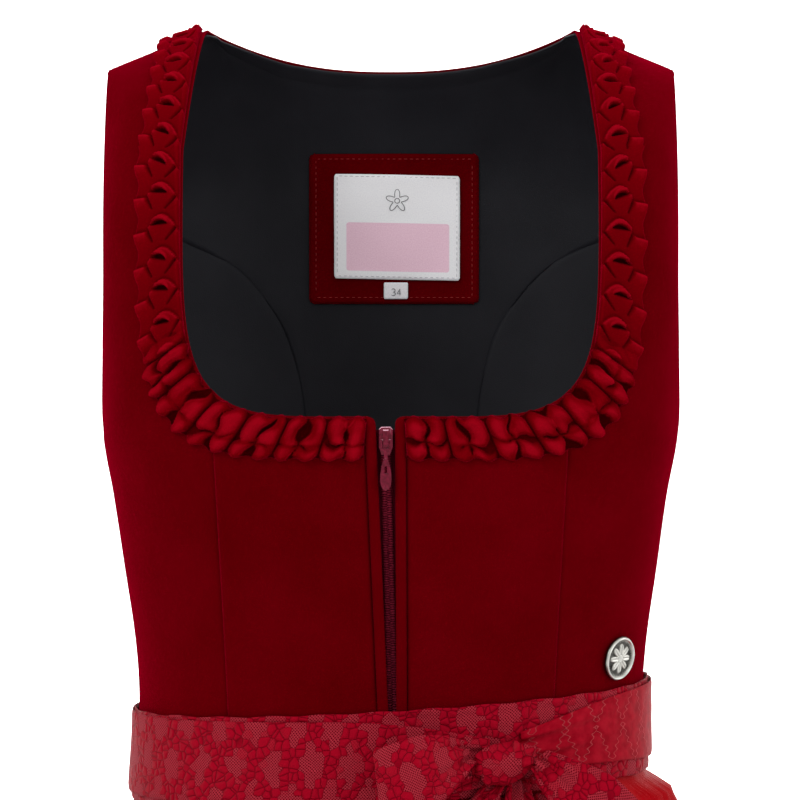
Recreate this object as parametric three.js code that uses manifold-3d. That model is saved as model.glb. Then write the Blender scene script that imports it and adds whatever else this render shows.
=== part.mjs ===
// A dirndl: a close velvet bodice with a lining, a ruched trim round its square neck and a zip down its
// front, a gathered skirt, and an apron whose sash ties in a bow beside the middle of the front.
// It is worn: a hollow garment that keeps the shape its cut gives it, open at neck, armholes and hem.
// Millimetres, +Z up, the front faces -Y and the wearer's left is +X. The origin lies midway between the
// two points where the shoulder seams meet the neck, where the shoulders carry the garment.
import * as THREE from "three";
import Module from "manifold-3d";

const wasm = await Module();
wasm.setup();

// ---- sizes of the garment --------------------------------------------------------------------------
const WAIST_Z = -378; // the seam that joins bodice and skirt
const HEM_Z = -1058;
const APRON_HEM_Z = -1000;
const UNDERARM_Z = -208;
const SEAM_GAP = 0.3; // between two pieces that are sewn together
const FRONT_WALL = 2.2; // velvet with its lining
const BACK_WALL = 1.5;
const LINING = 1.0;
const SKIRT_WALL = 1.5;
const APRON_WALL = 1.3;
const COLOURS = {
  velvet: [0x6e0710, 0.85],
  lining: [0x15161a, 0.6],
  skirt: [0x9c0a12, 0.55],
  apron: [0xa3182a, 0.65],
  zip: [0x5a0f22, 0.5],
  label: [0xe9e9ec, 0.7],
  pewter: [0xa9a69c, 0.4],
};

// ---- small mathematics -----------------------------------------------------------------------------
const mix = (a, b, t) => a + (b - a) * t;
const clamp01 = (t) => Math.min(1, Math.max(0, t));
const smooth = (t) => clamp01(t) ** 2 * (3 - 2 * clamp01(t));
const steps = (count) => Array.from({ length: count + 1 }, (_, k) => k / count);

// The value of one column of a table at a place, on a smooth curve through the table's rows.
function along(table, column, at, key = "z") {
  let k = 0;
  while (k < table.length - 2 && at > table[k + 1][key]) k++;
  const slope = (i) => {
    const low = table[Math.max(0, i - 1)];
    const high = table[Math.min(table.length - 1, i + 1)];
    return (high[column] - low[column]) / (high[key] - low[key]);
  };
  const [p, q] = [table[k], table[k + 1]];
  const h = q[key] - p[key];
  const t = (at - p[key]) / h;
  if (t < 0) return p[column] + slope(k) * h * t;
  if (t > 1) return q[column] + slope(k + 1) * h * (t - 1);
  return (
    (2 * t ** 3 - 3 * t ** 2 + 1) * p[column] +
    (t ** 3 - 2 * t ** 2 + t) * h * slope(k) +
    (3 * t ** 2 - 2 * t ** 3) * q[column] +
    (t ** 3 - t ** 2) * h * slope(k + 1)
  );
}

// ---- solids from walls of cloth --------------------------------------------------------------------
// point(i, j, layer) gives a wall's corners: i runs across, j runs up and layer is 0 inside, 1 outside.
function wall(columns, rows, point) {
  const positions = [];
  const index = [];
  const width = columns + 1;
  for (const layer of [0, 1])
    for (let j = 0; j <= rows; j++)
      for (let i = 0; i <= columns; i++) positions.push(...point(i, j, layer));
  const at = (i, j, layer) => layer * width * (rows + 1) + j * width + i;
  const face = (a, b, c, d) => index.push(a, b, c, a, c, d);
  for (let j = 0; j < rows; j++)
    for (let i = 0; i < columns; i++) {
      face(at(i, j, 1), at(i + 1, j, 1), at(i + 1, j + 1, 1), at(i, j + 1, 1));
      face(at(i, j, 0), at(i, j + 1, 0), at(i + 1, j + 1, 0), at(i + 1, j, 0));
    }
  for (let i = 0; i < columns; i++) {
    face(at(i, 0, 0), at(i + 1, 0, 0), at(i + 1, 0, 1), at(i, 0, 1));
    face(at(i, rows, 0), at(i, rows, 1), at(i + 1, rows, 1), at(i + 1, rows, 0));
  }
  for (let j = 0; j < rows; j++) {
    face(at(0, j, 0), at(0, j, 1), at(0, j + 1, 1), at(0, j + 1, 0));
    face(at(columns, j, 0), at(columns, j + 1, 0), at(columns, j + 1, 1), at(columns, j, 1));
  }
  const geometry = new THREE.BufferGeometry();
  geometry.setAttribute("position", new THREE.Float32BufferAttribute(positions, 3));
  geometry.setIndex(index);
  return facingOut(geometry);
}

// Turns a closed mesh's faces outwards where its volume comes out negative.
function facingOut(geometry) {
  const index = Array.from(geometry.index.array);
  const corner = (k) => new THREE.Vector3().fromBufferAttribute(geometry.attributes.position, index[k]);
  let volume = 0;
  for (let k = 0; k < index.length; k += 3) volume += corner(k).dot(corner(k + 1).cross(corner(k + 2)));
  if (volume < 0)
    for (let k = 0; k < index.length; k += 3) [index[k + 1], index[k + 2]] = [index[k + 2], index[k + 1]];
  geometry.setIndex(index);
  return geometry;
}

// A point of surface(u, v) moved out along its normal; du and dv are the steps that feel the slope.
function lifted(surface, u, v, out, du, dv, turn = 1) {
  const at = (a, b) => new THREE.Vector3(...surface(a, b));
  const across = at(u + du, v).sub(at(u - du, v));
  const up = at(u, v + dv).sub(at(u, v - dv));
  return at(u, v).addScaledVector(across.cross(up).normalize(), out * turn).toArray();
}

const group = new THREE.Group();
function add(name, geometry, finish) {
  const [color, roughness] = COLOURS[finish];
  const metalness = finish === "pewter" ? 1 : 0;
  const mesh = new THREE.Mesh(geometry, new THREE.MeshStandardMaterial({ color, roughness, metalness }));
  mesh.name = name;
  group.add(mesh);
}

// ---- the figure that the bodice is cut for ---------------------------------------------------------
// Level sections: half width, depth to the front and to the back, and how square the section is.
const BODICE = [
  { z: -402, half: 133.5, front: 88, back: 81, square: 2.2 },
  { z: -348, half: 131.3, front: 87.5, back: 80, square: 2.2 },
  { z: -317, half: 133, front: 91, back: 83, square: 2.25 },
  { z: -276, half: 138.5, front: 98, back: 89, square: 2.4 },
  { z: -240, half: 143.5, front: 104, back: 94, square: 2.6 },
  { z: -208, half: 149, front: 108, back: 98, square: 2.9 },
  { z: -160, half: 150.5, front: 108, back: 101, square: 3.4 },
  { z: -110, half: 150, front: 104, back: 103, square: 3.8 },
  { z: -60, half: 150, front: 98, back: 103, square: 4 },
  { z: 30, half: 150, front: 92, back: 98, square: 4 },
];
const BUST = { x: 74, z: -226, spreadX: 34, spreadZ: 38, fullness: 7 };
const SHOULDER = { neckX: 96, tipX: 150, tipZ: -22, y: 8, roll: 95 }; // the seam, and how far it rolls over
const ROLL_LENGTH = (SHOULDER.roll * Math.PI) / 2;

// Height of the shoulder line at a distance x from the middle.
function shoulderZ(x) {
  const beyond = Math.abs(x) - SHOULDER.neckX;
  return beyond > 0 ? (beyond * SHOULDER.tipZ) / (SHOULDER.tipX - SHOULDER.neckX) : -0.12 * beyond;
}

// A quarter of a level section: points from the middle to the side, and the share of its length at each.
const quarters = new Map();
function quarter(table, side, z) {
  const key = `${table.length} ${side} ${z.toFixed(3)}`;
  if (quarters.has(key)) return quarters.get(key);
  const [half, depth, square] = [along(table, "half", z), along(table, side, z), along(table, "square", z)];
  const points = steps(36).map((t) => {
    const angle = (t * Math.PI) / 2;
    return [half * Math.sin(angle) ** (2 / square), depth * Math.cos(angle) ** (2 / square)];
  });
  const lengths = [0];
  for (let k = 1; k < points.length; k++)
    lengths.push(
      lengths[k - 1] + Math.hypot(points[k][0] - points[k - 1][0], points[k][1] - points[k - 1][1]),
    );
  const made = { points, share: lengths.map((l) => l / lengths.at(-1)), length: lengths.at(-1) };
  quarters.set(key, made);
  return made;
}

// [x, depth] at share s of a quarter, from the middle (0) to the side (1); past either end it mirrors.
function onQuarter(table, side, s, z) {
  if (s < 0) return onQuarter(table, side, -s, z).map((c, k) => (k ? c : -c));
  if (s > 1) return onQuarter(table, side, 2 - s, z).map((c, k) => (k ? -c : c));
  const { points, share } = quarter(table, side, z);
  let k = share.findIndex((v) => v >= s);
  if (k < 1) k = 1;
  const t = (s - share[k - 1]) / (share[k] - share[k - 1]);
  return [mix(points[k - 1][0], points[k][0], t), mix(points[k - 1][1], points[k][1], t)];
}

// The share of a quarter at which its x (axis 0) or its depth (axis 1) has a value.
function shareWhere(side, axis, value, z) {
  const { points, share } = quarter(BODICE, side, z);
  let k = points.findIndex((p) => (axis ? p[1] <= value : p[0] >= value));
  if (k < 1) k = k < 0 ? points.length - 1 : 1;
  const t = (value - points[k - 1][axis]) / (points[k][axis] - points[k - 1][axis]);
  return mix(share[k - 1], share[k], t);
}

// The reach r measures down the cloth from the shoulder line; it is an angle while the cloth rolls over.
const heightAt = (r, x) =>
  r < ROLL_LENGTH
    ? shoulderZ(x) - SHOULDER.roll * (1 - Math.cos(r / SHOULDER.roll))
    : shoulderZ(x) - SHOULDER.roll - (r - ROLL_LENGTH);
function reachAt(z, x) {
  const drop = shoulderZ(x) - z;
  if (drop > SHOULDER.roll) return ROLL_LENGTH + drop - SHOULDER.roll;
  return SHOULDER.roll * Math.acos(1 - Math.max(0, drop) / SHOULDER.roll);
}

// The bodice's outer surface at share s of a quarter and reach r, on the wearer's left.
function bodiceSurface(side, s, r) {
  let [x, depth] = onQuarter(BODICE, side, s, heightAt(r, 125));
  for (let pass = 0; pass < 2; pass++) [x, depth] = onQuarter(BODICE, side, s, heightAt(r, x));
  const z = heightAt(r, x);
  const facing = side === "front" ? -1 : 1;
  if (side === "front") {
    const away = ((Math.abs(x) - BUST.x) / BUST.spreadX) ** 2 + ((z - BUST.z) / BUST.spreadZ) ** 2;
    depth += BUST.fullness * Math.exp(-away / 2) * (1 - Math.abs(s) ** 12);
  }
  const seam = SHOULDER.y + (facing * SEAM_GAP) / 2;
  const over = r < ROLL_LENGTH ? Math.sin(r / SHOULDER.roll) : 1;
  return [x, seam + (facing * depth - seam) * over, z];
}

// The same, moved out; mirror is 1 for the wearer's left (+X) and -1 for the right.
function onBodice(side, s, r, out, mirror = 1) {
  const p = lifted((u, v) => bodiceSurface(side, u, v), s, r, out, 0.006, 1, side === "front" ? -1 : 1);
  return [p[0] * mirror, p[1], p[2]];
}
function onBodiceAt(side, x, z, out, mirror = 1) {
  return onBodice(side, shareWhere(side, 0, x, z), reachAt(z, x), out, mirror);
}

// ---- the lines the bodice is cut along -------------------------------------------------------------
const NECK = { half: 105, cornerZ: -60, depth: 132.8, square: 5.5, backDrop: 22 };
const neckZ = (x) =>
  NECK.cornerZ - NECK.depth * Math.max(0, 1 - (Math.abs(x) / NECK.half) ** NECK.square) ** (1 / NECK.square);
function neckX(z) {
  if (z > NECK.cornerZ) return mix(SHOULDER.neckX, NECK.half, clamp01(z / NECK.cornerZ) ** 0.8);
  const down = Math.min(1, (NECK.cornerZ - z) / NECK.depth);
  return NECK.half * Math.max(0, 1 - down ** NECK.square) ** (1 / NECK.square);
}
const PRINCESS = { topX: 90.6, topZ: -179.3, waistX: 82 };
const princessX = (z) => mix(PRINCESS.waistX, PRINCESS.topX, (z - WAIST_Z) / (PRINCESS.topZ - WAIST_Z));
// The curved seam of the back, from the waist up and out into the armhole.
const BACK_SEAM = [
  { z: -400, x: 40 },
  { z: -300, x: 41 },
  { z: -204, x: 47 },
  { z: -168, x: 55 },
  { z: -148, x: 66 },
  { z: -126, x: 87 },
  { z: -112, x: 117 },
  { z: -101, x: 146 },
];
const backSeamX = (z) => along(BACK_SEAM, "x", z);
const ARMHOLE = { front: 52, back: 50, curve: 0.45 }; // how far it cuts in, and the share that curves
// Share of the quarter at the armhole's edge, or 1 at the side seam below it.
function edgeShare(side, z) {
  const up = (z - UNDERARM_Z) / (SHOULDER.tipZ - UNDERARM_Z);
  if (up <= 0) return 1;
  const turned = 1 - Math.min(1, up / ARMHOLE.curve);
  return shareWhere(side, 1, ARMHOLE[side] * Math.sqrt(1 - turned ** 2), z);
}
// The two front edges, at the neck and at the waist. The closure leans a little.
const CLOSURE = { neck: { right: -7, left: 1.8 }, waist: { right: 0.6, left: 2.6 } };
const CLOSURE_TOP_Z = -198;
const closureX = (edge, z) =>
  mix(CLOSURE.waist[edge], CLOSURE.neck[edge], (z - WAIST_Z) / (CLOSURE_TOP_Z - WAIST_Z));
const zipX = (z) => (closureX("right", z) + closureX("left", z)) / 2;
const EDGE_ROLL = { width: 6.2, proud: 1.1, corner: 4, flatBelow: -343 }; // flat under the band

// Rows of the panels: heights up to the chest, then reaches over the shoulder.
const LOW_ROWS = [-378, -350, -322, -296, -270, -246, -222, -204, -179.3];
const ROWS = [...LOW_ROWS, -168, -148, -126];
const OVER_ROWS = [84, 60, 38, 18, 0].map((angle) => (angle * ROLL_LENGTH) / 90);
const rowZ = (z) => z + (z === WAIST_Z ? SEAM_GAP / 2 : 0);
const reachOn = (side, s, z) => [s, reachAt(z, onQuarter(BODICE, side, s, z)[0])];
const sideEdge = (side, z) =>
  edgeShare(side, z) - (z <= UNDERARM_Z + 1 ? SEAM_GAP / 2 / quarter(BODICE, side, z).length : 0);
const bodiceWall = (side, mirror, columns, rows, place, from, to) =>
  wall(columns, rows, (i, j, layer) => onBodice(side, ...place(i, j), layer ? to : from, mirror));

// ---- bodice fronts, with the turned edges beside the zip -------------------------------------------
const FRONT_COLUMNS = 5;
const SIDES = [["left", 1], ["right", -1]];
for (const [name, mirror] of SIDES) {
  const innerAt = (z, clear) => closureX(name, z) * mirror + clear;
  const centre = (i, j) => {
    const f = i / FRONT_COLUMNS;
    const clear = EDGE_ROLL.width + SEAM_GAP;
    const topX = mix(innerAt(CLOSURE_TOP_Z, clear), PRINCESS.topX - SEAM_GAP / 2, f);
    const up = (LOW_ROWS[j] - WAIST_Z) / (PRINCESS.topZ - WAIST_Z);
    const z = mix(rowZ(WAIST_Z), neckZ(topX), up);
    const x = mix(innerAt(z, clear), princessX(z) - SEAM_GAP / 2, f);
    return [shareWhere("front", 0, x, z), reachAt(z, x)];
  };
  const centreFront = bodiceWall("front", mirror, FRONT_COLUMNS, LOW_ROWS.length - 1, centre, -FRONT_WALL, 0);
  add("bodice_centre_front_" + name, centreFront, "velvet");

  // From the princess seam to the side seam, and on up between neck and armhole as the strap.
  const innerX = (z) => (z > PRINCESS.topZ ? neckX(z) : princessX(z) + SEAM_GAP / 2);
  const sideFront = (i, j) => {
    const t = i / FRONT_COLUMNS;
    if (j < ROWS.length) {
      const z = rowZ(ROWS[j]);
      return reachOn("front", mix(shareWhere("front", 0, innerX(z), z), sideEdge("front", z), t), z);
    }
    const r = OVER_ROWS[j - ROWS.length];
    const z = heightAt(r, mix(SHOULDER.neckX, SHOULDER.tipX, t));
    return [mix(shareWhere("front", 0, innerX(z), z), edgeShare("front", z), t), r];
  };
  const rows = ROWS.length + OVER_ROWS.length - 1;
  const strapFront = bodiceWall("front", mirror, FRONT_COLUMNS, rows, sideFront, -FRONT_WALL, 0);
  add("bodice_side_front_" + name, strapFront, "velvet");

  const roll = wall(2, 8, (i, j, layer) => {
    const top = neckZ(0) - (i === 0 ? EDGE_ROLL.corner : 0);
    const z = mix(rowZ(WAIST_Z), top, j / 8);
    const x = innerAt(z, (EDGE_ROLL.width * i) / 2);
    const proud = i === 1 ? mix(0.3, EDGE_ROLL.proud, smooth((z - EDGE_ROLL.flatBelow) / 14)) : 0.3;
    return onBodiceAt("front", x, z, layer ? proud : -FRONT_WALL, mirror);
  });
  add("front_edge_" + name, roll, "velvet");
}

// ---- bodice back and its lining --------------------------------------------------------------------
const LINING_OUT = -BACK_WALL - SEAM_GAP;
const NECK_COLUMN = 0.75; // the share of the centre back's half that ends at the neck, not at the shoulder
const BACK_EDGE = [-112, -97, -78, -58, -38, SHOULDER.tipZ]; // rows above the seam's turn, at its outer edge
for (const [prefix, from, to, finish] of [
  ["bodice", -BACK_WALL, 0, "velvet"],
  ["lining", LINING_OUT - LINING, LINING_OUT, "lining"],
]) {
  const half = 4;
  const centreBack = (far, j) => {
    const z = rowZ(ROWS[Math.min(j, ROWS.length - 1)]);
    const [s, r] = reachOn("back", far * shareWhere("back", 0, backSeamX(z) - SEAM_GAP / 2, z), z);
    if (j < ROWS.length) return [s, r];
    const up = (j - ROWS.length + 1) / BACK_EDGE.length;
    if (far > NECK_COLUMN) {
      const edgeZ = BACK_EDGE[j - ROWS.length];
      const seam = edgeZ < -100 ? shareWhere("back", 0, backSeamX(edgeZ) - SEAM_GAP / 2, edgeZ) : 2;
      const [edgeS, edgeR] = reachOn("back", Math.min(seam, edgeShare("back", edgeZ)), edgeZ);
      return [edgeS, edgeZ === SHOULDER.tipZ ? 0 : edgeR];
    }
    const endX = (far / NECK_COLUMN) * SHOULDER.neckX;
    const endZ = -NECK.backDrop * (1 - (far / NECK_COLUMN) ** 2.4);
    const endR = far < NECK_COLUMN ? reachAt(endZ, endX) : 0;
    return [mix(s, shareWhere("back", 0, endX, endZ), up ** 0.7), mix(r, endR, up)];
  };
  const solid = wall(2 * half, ROWS.length - 1 + BACK_EDGE.length, (i, j, layer) => {
    const far = Math.abs(i - half) / half;
    return onBodice("back", ...centreBack(far, j), layer ? to : from, Math.sign(i - half) || 1);
  });
  add(prefix + "_centre_back", solid, finish);

  const sideRows = [...ROWS, BACK_EDGE[0], BACK_SEAM.at(-1).z];
  for (const [name, mirror] of SIDES) {
    const sideBack = (i, j) => {
      const z = rowZ(sideRows[j]);
      const inner = shareWhere("back", 0, backSeamX(z) + SEAM_GAP / 2, z);
      return reachOn("back", mix(inner, sideEdge("back", z), i / 5), z);
    };
    const side = bodiceWall("back", mirror, 5, sideRows.length - 1, sideBack, from, to);
    add(`${prefix}_side_back_${name}`, side, finish);
  }
}

// ---- ruched trim round the front of the neck -------------------------------------------------------
// The strip is pinched at its middle once in each unit, which leaves four lobes and two small mouths.
const TRIM = { width: 22, units: 19, wideUnits: 5, wide: 1.3, start: { left: 7.2, right: 12.6 }, base: 0.3 };
const TRIM_HEIGHTS = [
  [1.6, 1.9, 1.5, 1.9, 1.6], // the gap between two units, from the neck edge outwards
  [3.4, 5.2, 3.6, 5.2, 3.2],
  [2.4, 3.8, 1.8, 3.8, 2.2],
  [3.4, 5.2, 3.6, 5.2, 3.2],
];
const TRIM_SCALLOP = [-1.2, 0.8, 0, 0.8];
// q runs from 0 at the middle to 1 at the end of the curve, then up to 2 at the shoulder seam.
function besideNeck(q, away) {
  const { half, depth, cornerZ, square } = NECK;
  if (q < 1) {
    const angle = (q * Math.PI) / 2;
    const x = (half + away) * Math.sin(angle) ** (2 / square);
    const z = cornerZ - (depth + away) * Math.cos(angle) ** (2 / square);
    return [x, z, reachAt(z, x)];
  }
  const r = reachAt(cornerZ, half + away) * (2 - q);
  const x = neckX(heightAt(r, half)) + away;
  return [x, heightAt(r, x), r];
}
function onTrim(q, away, out, mirror) {
  const [x, z, r] = besideNeck(q, away);
  return onBodice("front", shareWhere("front", 0, x, z), r, out, mirror);
}
for (const [name, mirror] of SIDES) {
  const course = [];
  for (const t of steps(120)) {
    const q = t * 2;
    if (besideNeck(q, TRIM.width / 2)[0] < TRIM.start[name]) continue;
    const at = new THREE.Vector3(...onTrim(q, TRIM.width / 2, 0, 1));
    const before = course.at(-1);
    course.push({ q, at, run: before ? before.run + before.at.distanceTo(at) : 0 });
  }
  const total = TRIM.units + TRIM.wideUnits * (TRIM.wide - 1);
  const runAt = (unit) =>
    ((Math.min(unit, TRIM.wideUnits) * TRIM.wide + Math.max(0, unit - TRIM.wideUnits)) / total) *
    course.at(-1).run;
  const strip = wall(4, TRIM.units * 4, (i, j, layer) => {
    const run = runAt(j / 4);
    let k = course.findIndex((c) => c.run >= run - 1e-6);
    k = k < 0 ? course.length - 1 : Math.max(1, k);
    const t = (run - course[k - 1].run) / (course[k].run - course[k - 1].run);
    const q = mix(course[k - 1].q, course[k].q, t);
    const scallop = i === 4 ? TRIM_SCALLOP[j % 4] : 0;
    const out = TRIM.base + (layer ? TRIM_HEIGHTS[j % 4][i] : 0);
    return onTrim(q, (TRIM.width * i) / 4 + scallop, out, mirror);
  });
  add("neck_trim_" + name, strip, "velvet");
}

// ---- zip: tape, chain, slider and pull -------------------------------------------------------------
const ZIP = { tapeHalf: 13, tapeOut: -5.2, tape: 0.8, chainHalf: 2.8, chainOut: -2.9, chain: 1.6 };
function zipStrip(halfWidth, out, thickness, top) {
  return wall(2, 8, (i, j, layer) => {
    const z = mix(WAIST_Z + 1, top, j / 8);
    const x = zipX(z) + halfWidth * (i - 1);
    return onBodiceAt("front", Math.abs(x), z, layer ? out : out - thickness, Math.sign(x) || 1);
  });
}
add("zip_tape", zipStrip(ZIP.tapeHalf, ZIP.tapeOut, ZIP.tape, CLOSURE_TOP_Z - 2), "zip");
add("zip_chain", zipStrip(ZIP.chainHalf, ZIP.chainOut, ZIP.chain, CLOSURE_TOP_Z - 4), "zip");

const SLIDER = { x: -2.4, y: -110.5, topZ: -198, bottomZ: -212, width: 7, depth: 3.9 };
const PIVOT = { z: -204.6, rise: 0.9 };
const { Manifold, CrossSection } = wasm;
const box = (x0, x1, y0, y1, z0, z1) =>
  Manifold.cube([x1 - x0, y1 - y0, z1 - z0]).translate([x0, y0, z0]);
// A flat shape in x and z, thickened in y from y0 to y1.
const plate = (outline, y0, y1) =>
  Manifold.extrude(new CrossSection([outline]), y1 - y0).rotate([90, 0, 0]).translate([0, y1, 0]);
function fromManifold(solid) {
  const { vertProperties, triVerts, numProp } = solid.getMesh();
  const geometry = new THREE.BufferGeometry();
  const positions = [];
  for (let k = 0; k < vertProperties.length; k += numProp) positions.push(...vertProperties.slice(k, k + 3));
  geometry.setAttribute("position", new THREE.Float32BufferAttribute(positions, 3));
  geometry.setIndex(Array.from(triVerts));
  return facingOut(geometry);
}
{
  const { x, y, width, depth, topZ, bottomZ } = SLIDER;
  const body = plate(
    [
      [x - width / 2 + 1.2, topZ], [x - width / 2, topZ - 1.2], [x - width / 2, bottomZ + 4],
      [x - width / 2 + 1.4, bottomZ], [x + width / 2 - 1.4, bottomZ], [x + width / 2, bottomZ + 4],
      [x + width / 2, topZ - 1.2], [x + width / 2 - 1.2, topZ],
    ],
    y, y + depth,
  );
  const arch = box(x - 1.4, x + 1.4, y - 2.6, y + 0.5, -206.6, -199.4);
  const window = box(x - 2, x + 2, y - 1.8, y, -205.6, -200.4);
  add("zip_slider", fromManifold(body.add(arch.subtract(window))), "zip");

  // The pull hangs from a bar through the slider's arch.
  const pivotY = y - PIVOT.rise;
  const bar = Manifold.cylinder(5.2, 0.5, 0.5, 10, true).rotate([0, 90, 0]).translate([x, pivotY, PIVOT.z]);
  const arm = (side) => box(x + side - 0.4, x + side + 0.4, pivotY - 0.5, pivotY + 0.5, -209.6, PIVOT.z + 0.4);
  const close = box(x - 2.6, x + 2.6, pivotY - 0.5, pivotY + 0.5, -209.7, -208.7);
  const neck = box(x - 0.9, x + 0.9, pivotY - 0.5, pivotY + 0.5, -214, -209.5);
  const drop = steps(16).map((t) => {
    const turn = t * 2 * Math.PI;
    const taper = 1 - 0.32 * Math.cos(turn);
    return [x - 2.9 * Math.sin(turn) * (taper / 1.32) * 1.25, -221.5 + 8.2 * Math.cos(turn)];
  });
  const tab = plate(drop.slice(0, -1), pivotY - 0.9, pivotY + 0.5);
  const slit = box(x - 0.7, x + 0.7, pivotY - 2, pivotY + 2, -221, -217.5);
  const pull = bar.add(arm(-2.2)).add(arm(2.2)).add(close).add(neck).add(tab.subtract(slit));
  add("zip_pull", fromManifold(pull), "zip");
}

// ---- badge, and the label on its patch -------------------------------------------------------------
const BADGE = { x: 116, z: -321, radius: 11.5, thickness: 2, clear: 1 };
{
  const centre = new THREE.Vector3(...onBodiceAt("front", BADGE.x, BADGE.z, 0));
  const normal = new THREE.Vector3(...onBodiceAt("front", BADGE.x, BADGE.z, 1)).sub(centre).normalize();
  const { radius, thickness } = BADGE;
  const profile = [
    [0, 0], [radius - 0.6, 0], [radius, 0.6], [radius, 1.5], [radius - 0.5, thickness],
    [radius - 1.6, thickness], [radius - 2, thickness - 0.5], [0, thickness - 0.4],
  ].map(([r, h]) => new THREE.Vector2(r, h));
  const positions = [];
  const index = [];
  const segments = 20;
  const rings = profile.slice(1, -1);
  const turn = new THREE.Quaternion().setFromUnitVectors(new THREE.Vector3(0, 1, 0), normal);
  const put = (r, h, angle) => {
    const p = new THREE.Vector3(r * Math.cos(angle), h + BADGE.clear, r * Math.sin(angle));
    positions.push(...p.applyQuaternion(turn).add(centre).toArray());
  };
  put(0, profile[0].y, 0);
  for (const ring of rings)
    for (let k = 0; k < segments; k++) put(ring.x, ring.y, (2 * Math.PI * k) / segments);
  put(0, profile.at(-1).y, 0);
  const last = positions.length / 3 - 1;
  for (let k = 0; k < segments; k++) {
    const n = (k + 1) % segments;
    index.push(0, 1 + k, 1 + n, last, last - segments + n, last - segments + k);
    for (let ring = 0; ring < rings.length - 1; ring++) {
      const [a, b] = [1 + ring * segments, 1 + (ring + 1) * segments];
      index.push(a + k, b + k, b + n, a + k, b + n, a + n);
    }
  }
  const geometry = new THREE.BufferGeometry();
  geometry.setAttribute("position", new THREE.Float32BufferAttribute(positions, 3));
  geometry.setIndex(index);
  add("badge", facingOut(geometry), "pewter");
}

// Flat pieces on the back lining, seen through the neck. out is the distance of their lining side.
const ON_LINING = [
  { name: "label_patch", x0: -44, x1: 47, z0: -147, z1: -65.5, out: 1.2, wall: 1.2, finish: "velvet", turn: 0 },
  { name: "label", x0: -30.7, x1: 36.9, z0: -134, z1: -77, out: 3, wall: 1, finish: "label", turn: 0.02 },
  { name: "size_tag", x0: -4, x1: 9, z0: -144.5, z1: -135.6, out: 3, wall: 0.8, finish: "label", turn: 0 },
];
for (const flat of ON_LINING) {
  const [columns, rows] = flat.name === "size_tag" ? [1, 1] : [6, 5];
  const inside = LINING_OUT - LINING - flat.out;
  const solid = wall(columns, rows, (i, j, layer) => {
    const x = mix(flat.x0, flat.x1, i / columns);
    const z = mix(flat.z0, flat.z1, j / rows) - x * flat.turn;
    return onBodiceAt("back", Math.abs(x), z, inside - (layer ? 0 : flat.wall), Math.sign(x) || 1);
  });
  add(flat.name, solid, flat.finish);
}

// ---- below the waist -------------------------------------------------------------------------------
// u counts quarters round the garment: 0 the middle of the front, 1 the wearer's left side, 2 and -2 the
// middle of the back, -1 the right side.
function ring(table, u, z) {
  const turn = ((((u + 2) % 4) + 4) % 4) - 2;
  const [side, s] = Math.abs(turn) <= 1 ? ["front", Math.abs(turn)] : ["back", 2 - Math.abs(turn)];
  const [x, depth] = onQuarter(table, side, s, z);
  return [x * (Math.sign(turn) || 1), side === "front" ? -depth : depth, z];
}
const BAND = { topZ: -343.5, tilt: 8 / 131, height: 47, out: 1.2, reach: 1.1 };
const bandTop = (x) => BAND.topZ + x * BAND.tilt; // the apron's band is a little higher on the left
const SKIRT = [
  { z: -1058, half: 330, front: 258, back: 296, square: 2.1 },
  { z: -900, half: 286, front: 226, back: 258, square: 2.1 },
  { z: -700, half: 232, front: 184, back: 208, square: 2.15 },
  { z: -540, half: 190, front: 146, back: 166, square: 2.2 },
  { z: -450, half: 161, front: 115, back: 132, square: 2.2 },
  { z: -414, half: 142, front: 95, back: 96, square: 2.2 },
  { z: -399, half: 133, front: 87.9, back: 80.9, square: 2.2 },
  { z: -378, half: 132.2, front: 87.7, back: 80.4, square: 2.2 },
];
const SIDE_SWELL = { below: 1.2, rise: 12, fade: 210, amount: 15 }; // the skirt stands out on the left
const SKIRT_FOLDS = [
  { z: -1058, back: 16, front: 9 },
  { z: -800, back: 13, front: 7 },
  { z: -560, back: 9, front: 5 },
  { z: -440, back: 5, front: 3.4 },
  { z: -412, back: 2.6, front: 1.8 },
  { z: -399, back: 0.4, front: 0.4 },
  { z: -370, back: 0.3, front: 0.3 },
];
const FOLDS_A_QUARTER = 9;
function skirtBase(u, z, out = 0) {
  const p = lifted((a, b) => ring(SKIRT, a, b), u, z, out, 0.004, 2, 1);
  const from = bandTop(p[0]) - BAND.height - SIDE_SWELL.below;
  const swell = smooth((from - z) / SIDE_SWELL.rise) * (1 - smooth((-410 - z) / SIDE_SWELL.fade));
  if (p[0] > 0) p[0] += SIDE_SWELL.amount * swell * (p[0] / 135) ** 1.5;
  return p;
}
function skirtFolds(u, z) {
  const turn = ((((u + 2) % 4) + 4) % 4) - 2;
  const behind = smooth((Math.abs(turn) - 0.45) / 0.3);
  const size = mix(along(SKIRT_FOLDS, "front", z), along(SKIRT_FOLDS, "back", z), behind);
  const uneven = 0.82 + 0.18 * Math.sin(7.3 * turn * Math.PI + 1);
  return size * uneven * Math.sin(2 * Math.PI * (FOLDS_A_QUARTER * turn + 0.25 * Math.sin(2.5 * Math.PI * turn)));
}
const skirtSurface = (u, z) => skirtBase(u, z, skirtFolds(u, z));
const SKIRT_ROWS = [HEM_Z, -880, -700, -560, -460]; // and more that follow the band's bottom
const UNDER_BAND = [22, 9, 1];
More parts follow.
